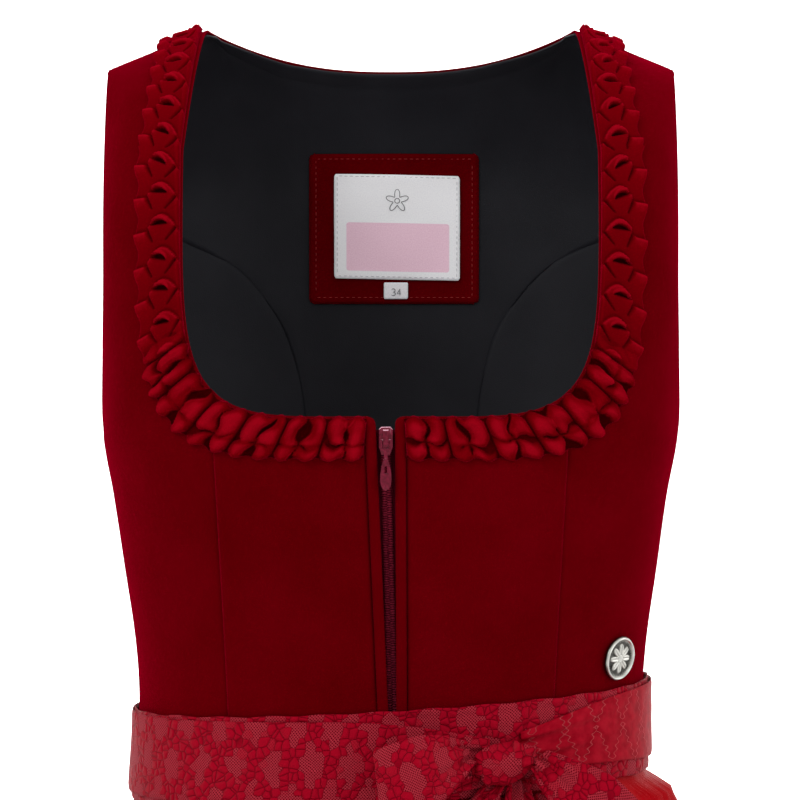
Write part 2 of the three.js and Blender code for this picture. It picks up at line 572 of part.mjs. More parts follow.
for (const [name, from, to] of [
  ["front_left", 0, 1], ["back_left", 1, 2], ["back_right", -2, -1], ["front_right", -1, 0],
]) {
  const columns = FOLDS_A_QUARTER * 4;
  const quarterWall = wall(columns, SKIRT_ROWS.length + UNDER_BAND.length, (i, j, layer) => {
    const bottom = bandTop(ring(SKIRT, mix(from, to, i / columns), -390)[0]) - BAND.height;
    const below = UNDER_BAND[j - SKIRT_ROWS.length];
    const z = SKIRT_ROWS[j] ?? (below === undefined ? WAIST_Z - SEAM_GAP / 2 : bottom - below);
    const side = Math.abs(from + to) < 2 ? "front" : "back";
    const clear = SEAM_GAP / 2 / quarter(SKIRT, side, z).length;
    const u = mix(from + clear, to - clear, i / columns);
    return lifted(skirtSurface, u, z, layer ? 0 : -SKIRT_WALL, 0.0015, 1.5);
  });
  add("skirt_" + name, quarterWall, "skirt");
}

// ---- apron and its band ----------------------------------------------------------------------------
// Columns of the band and the ties stand at the same places all round, so that their layers nest.
const COLUMN = 1 / 10;
function columnsBetween(from, to) {
  const [low, high] = [Math.min(from, to), Math.max(from, to)];
  const inner = [];
  for (let k = Math.ceil((low + 0.02) / COLUMN); k * COLUMN < high - 0.02; k++) inner.push(k * COLUMN);
  const all = [low, ...inner, high];
  return from < to ? all : all.reverse();
}
// A band of cloth round the waist: its top lies drop below the band's top line.
const onWaist = (u, z, out) => lifted((a, b) => ring(BODICE, a, b), u, z, out, 0.006, 2);
function girdle(us, rows, shape) {
  return wall(us.length - 1, rows, (i, j, layer) => {
    const { drop, width, out, thick } = shape(us[i]);
    const x = ring(BODICE, us[i], -370)[0];
    const z = bandTop(x) - drop - width * (1 - j / rows);
    return onWaist(us[i], z, out + (layer ? thick : 0));
  });
}
const bandShape = () => ({ drop: 0, width: BAND.height, out: BAND.out, thick: APRON_WALL - 0.1 });
add("apron_waistband", girdle(columnsBetween(-BAND.reach, BAND.reach), 2, bandShape), "apron");

const APRON = { reach: 0.5, folds: 10, drop: 0.6 };
const APRON_FALL = [
  { z: -1000, out: 20, size: 7 },
  { z: -800, out: 16.5, size: 6 },
  { z: -560, out: 12, size: 4.4 },
  { z: -440, out: 8.2, size: 2.8 },
  { z: -412, out: 5.4, size: 1.6 },
  { z: -398, out: 3.4, size: 0.9 },
  { z: -380, out: 3.2, size: 0.6 },
];
const apronOut = (z) => along(APRON_FALL, "out", z);
function apronSurface(u, z) {
  const wave = Math.sin(2 * Math.PI * ((APRON.folds * (u / APRON.reach + 1)) / 2 + 0.2 * Math.sin(9 * u)));
  const size = along(APRON_FALL, "size", z) * (0.85 + 0.15 * Math.sin(23 * u));
  return skirtBase(u, z, apronOut(z) + size * wave);
}
{
  const columns = APRON.folds * 4;
  const fall = [0, 0.2, 0.45, 0.68, 0.84, 0.94, 0.975, 1];
  const cloth = wall(columns, fall.length - 1, (i, j, layer) => {
    const u = mix(-APRON.reach, APRON.reach, i / columns);
    const top = bandTop(ring(BODICE, u, -390)[0]) - BAND.height - APRON.drop;
    const z = mix(APRON_HEM_Z, top, fall[j]);
    return lifted(apronSurface, u, z, layer ? 0 : -APRON_WALL, 0.0015, 1.5);
  });
  add("apron_skirt", cloth, "apron");
}

// ---- ties: each runs from one end of the band round the back and comes forward to the bow ----------
const TIES = [
  {
    name: "apron_tie_left",
    course: [
      { u: 1.2, drop: 2, width: 41, out: 2.8 },
      { u: 2, drop: 1.5, width: 41, out: 2.8 },
      { u: 3, drop: 1, width: 42, out: 2.8 },
      { u: 3.8, drop: 3.5, width: 42, out: 2.8 },
      { u: 4.05, drop: 8, width: 38, out: 2.8 },
      { u: 4.28, drop: 17, width: 24, out: 3.9 },
    ],
  },
  {
    name: "apron_tie_right",
    course: [
      { u: -1.2, drop: 2, width: 41, out: 4.5 },
      { u: -2, drop: 3, width: 41, out: 4.5 },
      { u: -2.8, drop: 2, width: 41, out: 4.5 },
      { u: -3.1, drop: 1.5, width: 39, out: 2.8 },
      { u: -3.35, drop: 4, width: 33, out: 2.8 },
      { u: -3.63, drop: 15, width: 20, out: 3.7 },
    ],
  },
];
for (const { name, course } of TIES) {
  const rising = course[0].u < course.at(-1).u ? course : [...course].reverse();
  const shape = (u) => {
    const at = (column) => along(rising, column, u, "u");
    return { drop: at("drop"), width: at("width"), out: Math.max(2.8, at("out")), thick: 1.2 };
  };
  add(name, girdle(columnsBetween(course[0].u, course.at(-1).u), 3, shape), "apron");
}

// ---- bow -------------------------------------------------------------------------------------------
// A ribbon follows a middle line; lean is the angle of its width from level, seen from the front.
function ribbon(course, thickness) {
  const span = course.length - 1;
  const keyed = course.map(([x, y, z, width, lean], k) => ({ k, x, y, z, width, lean }));
  const at = (t) => {
    const value = (column) => along(keyed, column, t * span, "k");
    const p = new THREE.Vector3(value("x"), value("y"), value("z"));
    return { p, width: value("width"), lean: value("lean") };
  };
  const surface = (v, t) => {
    const { p, width, lean } = at(t);
    const hollow = 0.06 * width * (4 * v * v - 1);
    return [p.x + Math.cos(lean) * width * v, p.y + hollow, p.z + Math.sin(lean) * width * v];
  };
  const rows = span * 2;
  return wall(4, rows, (i, j, layer) => {
    const t = Math.min(0.999, Math.max(0.001, j / rows));
    return lifted(surface, i / 4 - 0.5, t, (layer - 0.5) * thickness, 0.05, 0.01);
  });
}
const KNOT = { x: 58, y: -92.2, z: -369.5, halfX: 16, halfY: 7, halfZ: 11, slant: 0.26 };
{
  const positions = [];
  const index = [];
  const [turns, rings] = [14, 7];
  const put = (angle, tilt) => {
    const bulge = 1 + 0.05 * Math.sin(3 * angle + 0.6);
    positions.push(
      KNOT.x + KNOT.halfX * bulge * Math.cos(angle) * Math.cos(tilt),
      KNOT.y + KNOT.halfY * Math.sin(tilt) + KNOT.slant * KNOT.halfX * bulge * Math.cos(angle) * Math.cos(tilt),
      KNOT.z +
        (KNOT.halfZ * bulge * Math.sin(angle) + 0.12 * KNOT.halfX * Math.cos(angle)) * Math.cos(tilt),
    );
  };
  put(0, -Math.PI / 2);
  for (let r = 1; r <= rings; r++)
    for (let k = 0; k < turns; k++) put((2 * Math.PI * k) / turns, -Math.PI / 2 + (Math.PI * r) / (rings + 1));
  put(0, Math.PI / 2);
  const last = positions.length / 3 - 1;
  for (let k = 0; k < turns; k++) {
    const n = (k + 1) % turns;
    index.push(0, 1 + k, 1 + n, last, last - turns + n, last - turns + k);
    for (let r = 0; r < rings - 1; r++) {
      const [a, b] = [1 + r * turns, 1 + (r + 1) * turns];
      index.push(a + k, b + k, b + n, a + k, b + n, a + n);
    }
  }
  const geometry = new THREE.BufferGeometry();
  geometry.setAttribute("position", new THREE.Float32BufferAttribute(positions, 3));
  geometry.setIndex(index);
  add("bow_knot", facingOut(geometry), "apron");
}
// Rows: x, y and z of the middle line, width, lean.
const LOOP_RIGHT = [
  [39.6, -98, -364, 12, 2.1],
  [31, -108.5, -366, 26, 1.9],
  [18, -117, -371, 38, 1.78],
  [4, -121.5, -377, 43, 1.7],
  [-6, -118, -382, 44, 1.66],
  [-2, -111.5, -380, 43, 1.66],
  [10, -106.5, -377, 37, 1.78],
  [24, -101, -372, 24, 1.95],
  [38.3, -95, -371, 12, 2.1],
];
const LOOP_LEFT = [
  [75.1, -91.6, -368, 12, 0.9],
  [86, -103, -376, 24, 0.9],
  [99, -111, -387, 36, 0.9],
  [110, -113, -398, 38, 0.9],
  [116, -108, -405, 38, 0.9],
  [112, -103, -401, 38, 0.9],
  [101, -99.5, -390, 34, 0.9],
  [88, -95, -381, 24, 0.9],
  [75.7, -87.1, -374, 12, 0.9],
];
add("bow_loop_right", ribbon(LOOP_RIGHT, 1.3), "apron");
add("bow_loop_left", ribbon(LOOP_LEFT, 1.3), "apron");
// The tails hang from the knot over the apron: where each is round the skirt, and its width, by height.
const TAILS = [
  {
    name: "bow_tail_right",
    rows: [
      [-379.6, 0.29, 10], [-400, 0.22, 20], [-440, 0.18, 30],
      [-520, 0.14, 41], [-600, 0.12, 45], [-668, 0.11, 45],
    ],
  },
  {
    name: "bow_tail_left",
    rows: [
      [-379, 0.355, 10], [-400, 0.36, 19], [-440, 0.35, 30],
      [-520, 0.35, 41], [-600, 0.35, 45], [-640, 0.345, 45],
    ],
  },
];
for (const { name, rows } of TAILS) {
  const course = rows.map(([z, u, width]) => ({ z, u, width })).reverse();
  const surface = (v, z) => {
    const length = quarter(SKIRT, "front", z).length;
    const u = along(course, "u", z) + (v * along(course, "width", z)) / length;
    const wave = 3 * Math.cos(2 * Math.PI * (v + z / 160));
    const clear = 2 + (7 + wave) * smooth((-382 - z) / 40);
    return skirtBase(u, z, apronOut(z) + along(APRON_FALL, "size", z) + clear);
  };
  const [top, bottom] = [course.at(-1).z, course[0].z];
  const tail = wall(4, 10, (i, j, layer) => {
    const z = mix(bottom, top, j / 10);
    return lifted(surface, i / 4 - 0.5, z, layer ? 1.3 : 0, 0.03, 1.5);
  });
  add(name, tail, "apron");
}

export default group;
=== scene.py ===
import math

import bpy
import numpy as np
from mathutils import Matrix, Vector


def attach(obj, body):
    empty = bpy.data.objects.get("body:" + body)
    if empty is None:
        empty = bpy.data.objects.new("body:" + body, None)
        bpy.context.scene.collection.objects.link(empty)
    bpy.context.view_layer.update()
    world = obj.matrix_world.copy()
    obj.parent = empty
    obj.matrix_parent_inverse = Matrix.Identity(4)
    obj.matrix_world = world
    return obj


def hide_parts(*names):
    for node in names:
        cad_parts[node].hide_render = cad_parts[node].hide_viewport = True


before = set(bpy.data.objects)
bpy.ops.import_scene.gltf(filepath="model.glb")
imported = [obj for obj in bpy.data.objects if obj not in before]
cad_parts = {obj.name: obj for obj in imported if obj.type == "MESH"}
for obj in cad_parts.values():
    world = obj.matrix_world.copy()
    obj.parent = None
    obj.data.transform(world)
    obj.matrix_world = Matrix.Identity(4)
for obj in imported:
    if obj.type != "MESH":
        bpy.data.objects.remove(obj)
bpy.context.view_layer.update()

# ======== Camera, floor and light ==================================================================
# A long lens from 2.8 m at shoulder height, aimed a little down at the chest. The whole bodice fills
# the picture, so the skirt runs out of it below the bow.
scene = bpy.context.scene
camera = bpy.data.objects.new("camera", bpy.data.cameras.new("camera"))
scene.collection.objects.link(camera)
scene.camera = camera
aim = Vector((0.0047, 0, -0.192))
camera.location = (0.0047, -2.8, 0.0)
camera.rotation_euler = (aim - camera.location).to_track_quat("-Z", "Y").to_euler()
camera.data.lens = 242.9
camera.data.sensor_width = 36
camera.data.clip_end = 100

# The floor is pale and plain, with a paler wall far behind it.
floor_mesh = bpy.data.meshes.new("floor")
floor_mesh.from_pydata(
    [
        (-20, -12, -1.25), (20, -12, -1.25), (20, 11.5, -1.25), (-20, 11.5, -1.25),
        (20, 11.5, 16), (-20, 11.5, 16),
    ],
    [],
    [(0, 1, 2, 3), (3, 2, 4, 5)],
)
floor = bpy.data.objects.new("floor", floor_mesh)
scene.collection.objects.link(floor)
paper = bpy.data.materials.new("paper")
paper.use_nodes = True
sheen = paper.node_tree.nodes["Principled BSDF"].inputs
sheen["Base Color"].default_value, sheen["Roughness"].default_value = (0.93, 0.93, 0.93, 1), 0.9
floor_mesh.materials.append(paper)

world = bpy.data.worlds.new("studio")
scene.world = world
world.use_nodes = True
sky = world.node_tree.nodes["Background"].inputs
sky["Color"].default_value, sky["Strength"].default_value = (1, 1, 1, 1), 0.75
scene.view_settings.view_transform = "Standard"


def area_light(name, place, target, size, power):
    light = bpy.data.lights.new(name, "AREA")
    light.shape, light.size, light.size_y, light.energy = "RECTANGLE", size[0], size[1], power
    made = bpy.data.objects.new(name, light)
    made.location = place
    made.rotation_euler = (Vector(target) - Vector(place)).to_track_quat("-Z", "Y").to_euler()
    scene.collection.objects.link(made)


area_light("key", (-1.5, -2.2, 1.5), (0, 0, -0.25), (1.1, 1.1), 34)
area_light("fill", (1.9, -2.0, 0.7), (0, 0, -0.3), (1.6, 1.6), 20)
area_light("edge_left", (-2.0, 0.5, 0.5), (-0.1, 0, -0.25), (0.7, 1.6), 12)
area_light("edge_right", (2.0, 0.5, 0.5), (0.1, 0, -0.25), (0.7, 1.6), 10)
area_light("top", (0, -0.2, 2.2), (0, 0, -0.2), (1.4, 1.4), 14)
area_light("backdrop", (0, 5.0, 4.2), (0, 10.8, -0.6), (9, 4), 1300)

# ======== Velvet bodice: the panels of front and back ==============================================
# Seven panels of dark red pile velvet, cut to a close body and seamed down the chest and back. The
# sizes, in millimetres, are those of the solids: level sections, shoulder roll, neck, armhole, seams.
BODICE = [
    # z, half width, depth to the front, depth to the back, squareness
    (-402, 133.5, 88, 81, 2.2),
    (-348, 131.3, 87.5, 80, 2.2),
    (-317, 133, 91, 83, 2.25),
    (-276, 138.5, 98, 89, 2.4),
    (-240, 143.5, 104, 94, 2.6),
    (-208, 149, 108, 98, 2.9),
    (-160, 150.5, 108, 101, 3.4),
    (-110, 150, 104, 103, 3.8),
    (-60, 150, 98, 103, 4),
    (30, 150, 92, 98, 4),
]
BUST_X, BUST_Z, BUST_SPREAD_X, BUST_SPREAD_Z, BUST_FULL = 74, -226, 34, 38, 7
NECK_X, TIP_X, TIP_Z, SEAM_Y, ROLL = 96, 150, -22, 8, 95
ROLL_LENGTH = ROLL * math.pi / 2
WAIST_Z, UNDERARM_Z, GAP = -378, -208, 0.3
NECK_HALF, NECK_CORNER_Z, NECK_DEPTH, NECK_SQUARE, NECK_BACK = 105, -60, 132.8, 5.5, 22
FRONT_WALL, BACK_WALL, LINING_WALL = 2.2, 1.5, 1.0
ANGLES = np.linspace(0, math.pi / 2, 37)
PRINCESS_WAIST_X, PRINCESS_TOP_X, PRINCESS_TOP_Z = 82, 90.6, -179.3
CLOSURE_TOP_Z = -198
CLOSURE = {"right": (0.6, -7), "left": (2.6, 1.8)}  # x of the two front edges, at the waist and at the top
# A panel's lowest row, the height where its strap begins, and the share of its rows up to there.
SEAM_Z, CHEST_Z, LOW_SHARE = WAIST_Z + GAP / 2, -126, 0.62
SIDES = (("left", 1), ("right", -1))


def mix(a, b, t):
    return a + (b - a) * t


def smooth(t):
    t = np.clip(t, 0, 1)
    return t * t * (3 - 2 * t)


def curve(table, column, at, key=0):
    """A table's column at a place, on a smooth curve through its rows."""
    x = np.array([row[key] for row in table], float)
    y = np.array([row[column] for row in table], float)
    low, high = np.maximum(np.arange(len(x)) - 1, 0), np.minimum(np.arange(len(x)) + 1, len(x) - 1)
    slope = (y[high] - y[low]) / (x[high] - x[low])
    at = np.asarray(at, float)
    k = np.clip(np.searchsorted(x, at, side="left") - 1, 0, len(x) - 2)
    h = x[k + 1] - x[k]
    t = (at - x[k]) / h
    inside = np.clip(t, 0, 1)
    value = (
        (2 * inside**3 - 3 * inside**2 + 1) * y[k]
        + (inside**3 - 2 * inside**2 + inside) * h * slope[k]
        + (3 * inside**2 - 2 * inside**3) * y[k + 1]
        + (inside**3 - inside**2) * h * slope[k + 1]
    )
    return value + np.minimum(t, 0) * h * slope[k] + np.maximum(t - 1, 0) * h * slope[k + 1]


def quarter(table, front, z):
    """Points of a level section's quarter, and the share of its length at each."""
    half, square = curve(table, 1, z), curve(table, 4, z)
    depth = np.where(front, curve(table, 2, z), curve(table, 3, z))
    power = (2 / square)[..., None]
    x = half[..., None] * np.sin(ANGLES) ** power
    y = depth[..., None] * np.clip(np.cos(ANGLES), 0, 1) ** power
    step = np.hypot(np.diff(x), np.diff(y))
    share = np.concatenate([np.zeros(step.shape[:-1] + (1,)), np.cumsum(step, -1)], -1)
    return x, y, share / share[..., -1:], share[..., -1]


def pick(values, k):
    return np.take_along_axis(values, k[..., None], -1)[..., 0]


def on_quarter(table, front, s, z):
    """x and depth at share s, which is 0 in the middle and 1 at the side seam and mirrors past both."""
    front, s, z = np.broadcast_arrays(front, np.asarray(s, float), np.asarray(z, float))
    t = np.abs(s)
    beyond = t > 1
    t = np.where(beyond, 2 - t, t)
    x, y, share, _ = quarter(table, front, z)
    k = np.clip((share < t[..., None]).sum(-1), 1, len(ANGLES) - 1)
    a = (t - pick(share, k - 1)) / (pick(share, k) - pick(share, k - 1))
    return (
        np.where(s < 0, -1, 1) * mix(pick(x, k - 1), pick(x, k), a),
        np.where(beyond, -1, 1) * mix(pick(y, k - 1), pick(y, k), a),
    )


def share_where(front, axis, value, z):
    front, value, z = np.broadcast_arrays(front, np.asarray(value, float), np.asarray(z, float))
    x, y, share, _ = quarter(BODICE, front, z)
    p = y if axis else x
    reached = (p > value[..., None]) if axis else (p < value[..., None])
    k = np.clip(reached.sum(-1), 1, len(ANGLES) - 1)
    a = (value - pick(p, k - 1)) / (pick(p, k) - pick(p, k - 1))
    return mix(pick(share, k - 1), pick(share, k), a)


def shoulder_z(x):
    beyond = np.abs(x) - NECK_X
    return np.where(beyond > 0, beyond * TIP_Z / (TIP_X - NECK_X), -0.12 * beyond)


def height_at(r, x):
    rolled = shoulder_z(x) - ROLL * (1 - np.cos(np.minimum(r, ROLL_LENGTH) / ROLL))
    return rolled - np.maximum(0, r - ROLL_LENGTH)


def reach_at(z, x):
    drop = shoulder_z(x) - z
    rolled = ROLL * np.arccos(1 - np.clip(drop, 0, ROLL) / ROLL)
    return rolled + np.maximum(0, drop - ROLL)


def bodice_surface(front, s, r):
    """Points on the bodice at share s of a quarter and reach r down from the shoulder line."""
    x, depth = on_quarter(BODICE, front, s, height_at(r, 125))
    for _ in range(2):
        x, depth = on_quarter(BODICE, front, s, height_at(r, x))
    z = height_at(r, x)
    away = ((np.abs(x) - BUST_X) / BUST_SPREAD_X) ** 2 + ((z - BUST_Z) / BUST_SPREAD_Z) ** 2
    depth = depth + np.where(front, BUST_FULL * np.exp(-away / 2) * (1 - np.abs(s) ** 12), 0)
    facing = np.where(front, -1, 1)
    seam = SEAM_Y + facing * GAP / 2
    over = np.sin(np.minimum(r, ROLL_LENGTH) / ROLL)
    return np.stack([x, seam + (facing * depth - seam) * over, z], -1)


def neck_x(z):
    z = np.asarray(z, float)
    upper = mix(NECK_X, NECK_HALF, np.clip(z / NECK_CORNER_Z, 0, 1) ** 0.8)
    down = np.clip((NECK_CORNER_Z - z) / NECK_DEPTH, 0, 1)
    lower = NECK_HALF * np.clip(1 - down**NECK_SQUARE, 0, 1) ** (1 / NECK_SQUARE)
    return np.where(z > NECK_CORNER_Z, upper, lower)


def neck_z(x):
    inner = np.clip(1 - (np.abs(x) / NECK_HALF) ** NECK_SQUARE, 0, 1)
    return NECK_CORNER_Z - NECK_DEPTH * inner ** (1 / NECK_SQUARE)


def princess_x(z):
    return mix(PRINCESS_WAIST_X, PRINCESS_TOP_X, (z - WAIST_Z) / (PRINCESS_TOP_Z - WAIST_Z))


BACK_SEAM = [
    # z, x
    (-400, 40), (-300, 41), (-204, 47), (-168, 55), (-148, 66), (-126, 87), (-112, 117), (-101, 146),
]
BACK_SEAM_TOP_Z = BACK_SEAM[-1][0]


def edge_share(front, z):
    """The share at which the armhole's edge runs, or 1 at the side seam below it."""
    up = (z - UNDERARM_Z) / (TIP_Z - UNDERARM_Z)
    turned = 1 - np.clip(up / 0.45, 0, 1)
    cut = share_where(front, 1, (52 if front else 50) * np.sqrt(np.clip(1 - turned**2, 0, 1)), z)
    return np.where(up <= 0, 1.0, cut)


def closure_x(edge, z):
    return mix(*CLOSURE[edge], (z - WAIST_Z) / (CLOSURE_TOP_Z - WAIST_Z))


def normals(points, turn):
    n = np.cross(np.gradient(points, axis=0), np.gradient(points, axis=1))
    return turn * n / np.maximum(np.linalg.norm(n, axis=-1, keepdims=True), 1e-9)


def on_bodice(front, x, z, out=None):
    """Points on the front or back at a grid of x and z, moved out along the normals if out is given."""
    made = bodice_surface(front, share_where(front, 0, np.abs(x), z), reach_at(z, np.abs(x)))
    made[..., 0] *= np.where(x < 0, -1, 1)
    return made if out is None else made + normals(made, 1 if front else -1) * out


def placed(name, vertices, faces, look, stands_for=None, body="dress"):
    """A smooth piece from points in millimetres, on its body and in place of its solid."""
    mesh = bpy.data.meshes.new(name)
    mesh.from_pydata((np.asarray(vertices, float) / 1000).tolist(), [], faces)
    mesh.polygons.foreach_set("use_smooth", np.ones(len(mesh.polygons), bool))
    mesh.materials.append(look.material)
    made = bpy.data.objects.new(name, mesh)
    scene.collection.objects.link(made)
    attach(made, body)
    if stands_for:
        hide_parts(stands_for)
    return made


def lay_uv(mesh, uv):
    """The mesh's UV map cloth, from a pair of metres at each vertex."""
    corner = np.zeros(len(mesh.loops), np.int32)
    mesh.loops.foreach_get("vertex_index", corner)
    layer = mesh.uv_layers.new(name="cloth")
    layer.data.foreach_set("uv", uv[corner].astype(np.float32).ravel())


def cast(made):
    """The object's mesh becomes what its modifiers make of it."""
    bpy.context.view_layer.update()
    solid = bpy.data.meshes.new_from_object(made.evaluated_get(bpy.context.evaluated_depsgraph_get()))
    made.modifiers.clear()
    made.data = solid
    solid.polygons.foreach_set("use_smooth", np.ones(len(solid.polygons), bool))
    return solid


def cloth(name, points, turn, thick, look, relief=None, soften=0.5, painted_shading=None):
    """A wall of cloth from a grid of points in millimetres, which is its outer face. turn is the sign that
    points its normals out, relief the height of folds over it. UVs are lengths along the cloth in metres."""
    if relief is not None:
        points = points + normals(points, turn) * relief[..., None]
    out = normals(points, turn)
    nu, nv = points.shape[:2]
    edge = np.zeros((nu, nv))  # the edges are turned: they round off over their last few points
    for distance, drop in ((0, 1.0), (1, 0.35)):
        ring = np.zeros((nu, nv), bool)
        ring[[distance, -1 - distance]] = True
        ring[:, [distance, -1 - distance]] = True
        edge = np.where(ring & (edge == 0), drop, edge)
    rounded_off = edge * min(soften, thick * 0.4)
    outer = points - out * rounded_off[..., None]
    inner = points - out * (thick - rounded_off)[..., None]
    lengths_u = np.linalg.norm(np.diff(points, axis=0), axis=-1)
    lengths_v = np.linalg.norm(np.diff(points, axis=1), axis=-1)
    u = np.concatenate([np.zeros((1, nv)), np.cumsum(lengths_u, 0)], 0)
    u = u - u[nu // 2 : nu // 2 + 1]
    v = np.concatenate([np.zeros((nu, 1)), np.cumsum(lengths_v, 1)], 1)
    uv = np.stack([u, v], -1).reshape(-1, 2) / 1000
    n = nu * nv
    ids = np.arange(n).reshape(nu, nv)
    a, b, c, d = ids[:-1, :-1], ids[1:, :-1], ids[1:, 1:], ids[:-1, 1:]
    top = np.stack([a, b, c, d], -1).reshape(-1, 4)
    under = np.stack([a, d, c, b], -1).reshape(-1, 4) + n
    border = np.concatenate([ids[:, 0], ids[-1, 1:], ids[-2::-1, -1], ids[0, -2:0:-1]])
    after = np.roll(border, -1)
    rim = np.stack([border, border + n, after + n, after], -1)
    faces = np.concatenate([top, under, rim])
    if turn < 0:
        faces = faces[:, ::-1]
    both = np.concatenate([outer.reshape(-1, 3), inner.reshape(-1, 3)])
    made = placed(name + "_cloth", both, faces.tolist(), look, stands_for=name)
    lay_uv(made.data, np.concatenate([uv, uv]))
    # Painted shading: a value at each point which the trim's look turns into painted shade and painted
    # highlight.
    if painted_shading is not None:
        shade = made.data.attributes.new("painted_shading", "FLOAT", "POINT")
        shade.data.foreach_set("value", np.tile(painted_shading.ravel(), 2).astype(np.float32))
    return made


def grid(nu, nv):
    return np.meshgrid(np.linspace(0, 1, nu), np.linspace(0, 1, nv), indexing="ij")


class Wire:
    """A number that flows through a look's nodes. Arithmetic on it adds math nodes."""

    def __init__(self, look, socket):
        self.look, self.socket = look, socket

    def math(self, operation, *others, clamp=False):
        made = self.look.add("Math", operation=operation, use_clamp=clamp)
        for socket, value in zip(made.inputs, (self, *others)):
            self.look.feed(socket, value)
        return Wire(self.look, made.outputs[0])

    def __add__(self, other):
        return self.math("ADD", other)

    def __sub__(self, other):
        return self.math("SUBTRACT", other)

    def __rsub__(self, other):
        return self.math("MULTIPLY_ADD", -1.0, other)

    def __mul__(self, other):
        return self.math("MULTIPLY", other)

    def __pow__(self, other):
        return self.math("POWER", other)

    def __abs__(self):
        return self.math("ABSOLUTE")

    def fraction(self):
        return self.math("FRACT")

    def sine(self, length):
        """A wave over this length."""
        return (self * (2 * math.pi / length)).math("SINE")

    def most(self, other):
        return self.math("MAXIMUM", other)


class Look:
    """A material, and the name of a slot for its pieces, which it keeps but nothing reads. Each call adds a
    node and returns what flows out of it.
    """

    def __init__(self, name, slot, **surface):
        self.slot = slot
        self.material = bpy.data.materials.new(name)
        self.material.use_nodes = True
        self.tree = self.material.node_tree
        self.surface(**surface)

    def surface(self, **values):
        for key, value in values.items():
            self.feed(self.tree.nodes["Principled BSDF"].inputs[key.replace("_", " ")], value)

    def feed(self, socket, value):
        if isinstance(value, Wire):
            self.tree.links.new(value.socket, socket)
        else:
            socket.default_value = value

    def add(self, kind, **values):
        made = self.tree.nodes.new("ShaderNode" + kind)
        for key, value in values.items():
            if hasattr(made, key):
                setattr(made, key, value)
            else:
                self.feed(made.inputs[key.replace("_", " ")], value)
        return made

    def coordinates(self, kind="Object"):
        """The place on the object, its normal, or with kind cloth the place on the cloth."""
        if kind == "cloth":
            return Wire(self, self.add("UVMap", uv_map=kind).outputs[0])
        return Wire(self, self.add("TexCoord").outputs[kind])

    def split(self, vector):
        return [Wire(self, part) for part in self.add("SeparateXYZ", Vector=vector).outputs]

    def texture(self, kind, over="Object", **values):
        return Wire(self, self.add("Tex" + kind, Vector=self.coordinates(over), **values).outputs[0])

    def attribute(self, name):
        return Wire(self, self.add("Attribute", attribute_name=name).outputs["Fac"])

    def ramp(self, source, *stops):
        ramp = self.add("ValToRGB")
        self.feed(ramp.inputs[0], source)
        elements = ramp.color_ramp.elements
        while len(elements) < len(stops):
            elements.new(0.5)
        for element, (place, colour) in zip(elements, stops):
            element.position, element.color = place, (*colour, 1)
        return Wire(self, ramp.outputs[0])

    def mixed(self, factor, a, b):
        made = self.add("Mix", data_type="RGBA")
        for k, value in ((0, factor), (6, a), (7, b)):  # the colour sockets of this node
            self.feed(made.inputs[k], value)
        return Wire(self, made.outputs[2])

    def colour(self, source, *stops):
        self.surface(Base_Color=self.ramp(source, *stops))

    def bump(self, height, distance, strength=1.0):
        made = self.add("Bump", Distance=distance, Strength=strength, Height=height)
        self.surface(Normal=Wire(self, made.outputs[0]))


def velvet_look(name):
    """Pile velvet: nearly black where it is seen straight on, with a bright bloom at its turned edges."""
    look = Look(
        name, "velvet", Roughness=0.85, Specular_IOR_Level=0.0,
        Sheen_Weight=0.4, Sheen_Roughness=0.3, Sheen_Tint=(1.0, 0.0, 0.05, 1),
    )
    pile = look.texture("Noise", Scale=2600.0, Detail=2.0)
    tufts = look.texture("Noise", Scale=420.0, Detail=3.0)
    look.bump(pile + tufts * 0.8, 0.0006, 0.6)
    return look


velvet = velvet_look("velvet")
brushed = velvet.texture("Noise", Scale=22.0, Detail=4.0, Roughness=0.6)
velvet.colour(brushed, (0.3, (0.082, 0.0, 0.001)), (0.72, (0.105, 0.0, 0.002)))


def seam_ditch(distance, width=1.3, depth=0.9):
    """The dip of the cloth towards a seam, distance millimetres from it."""
    return -depth * np.exp(-((distance / width) ** 2))


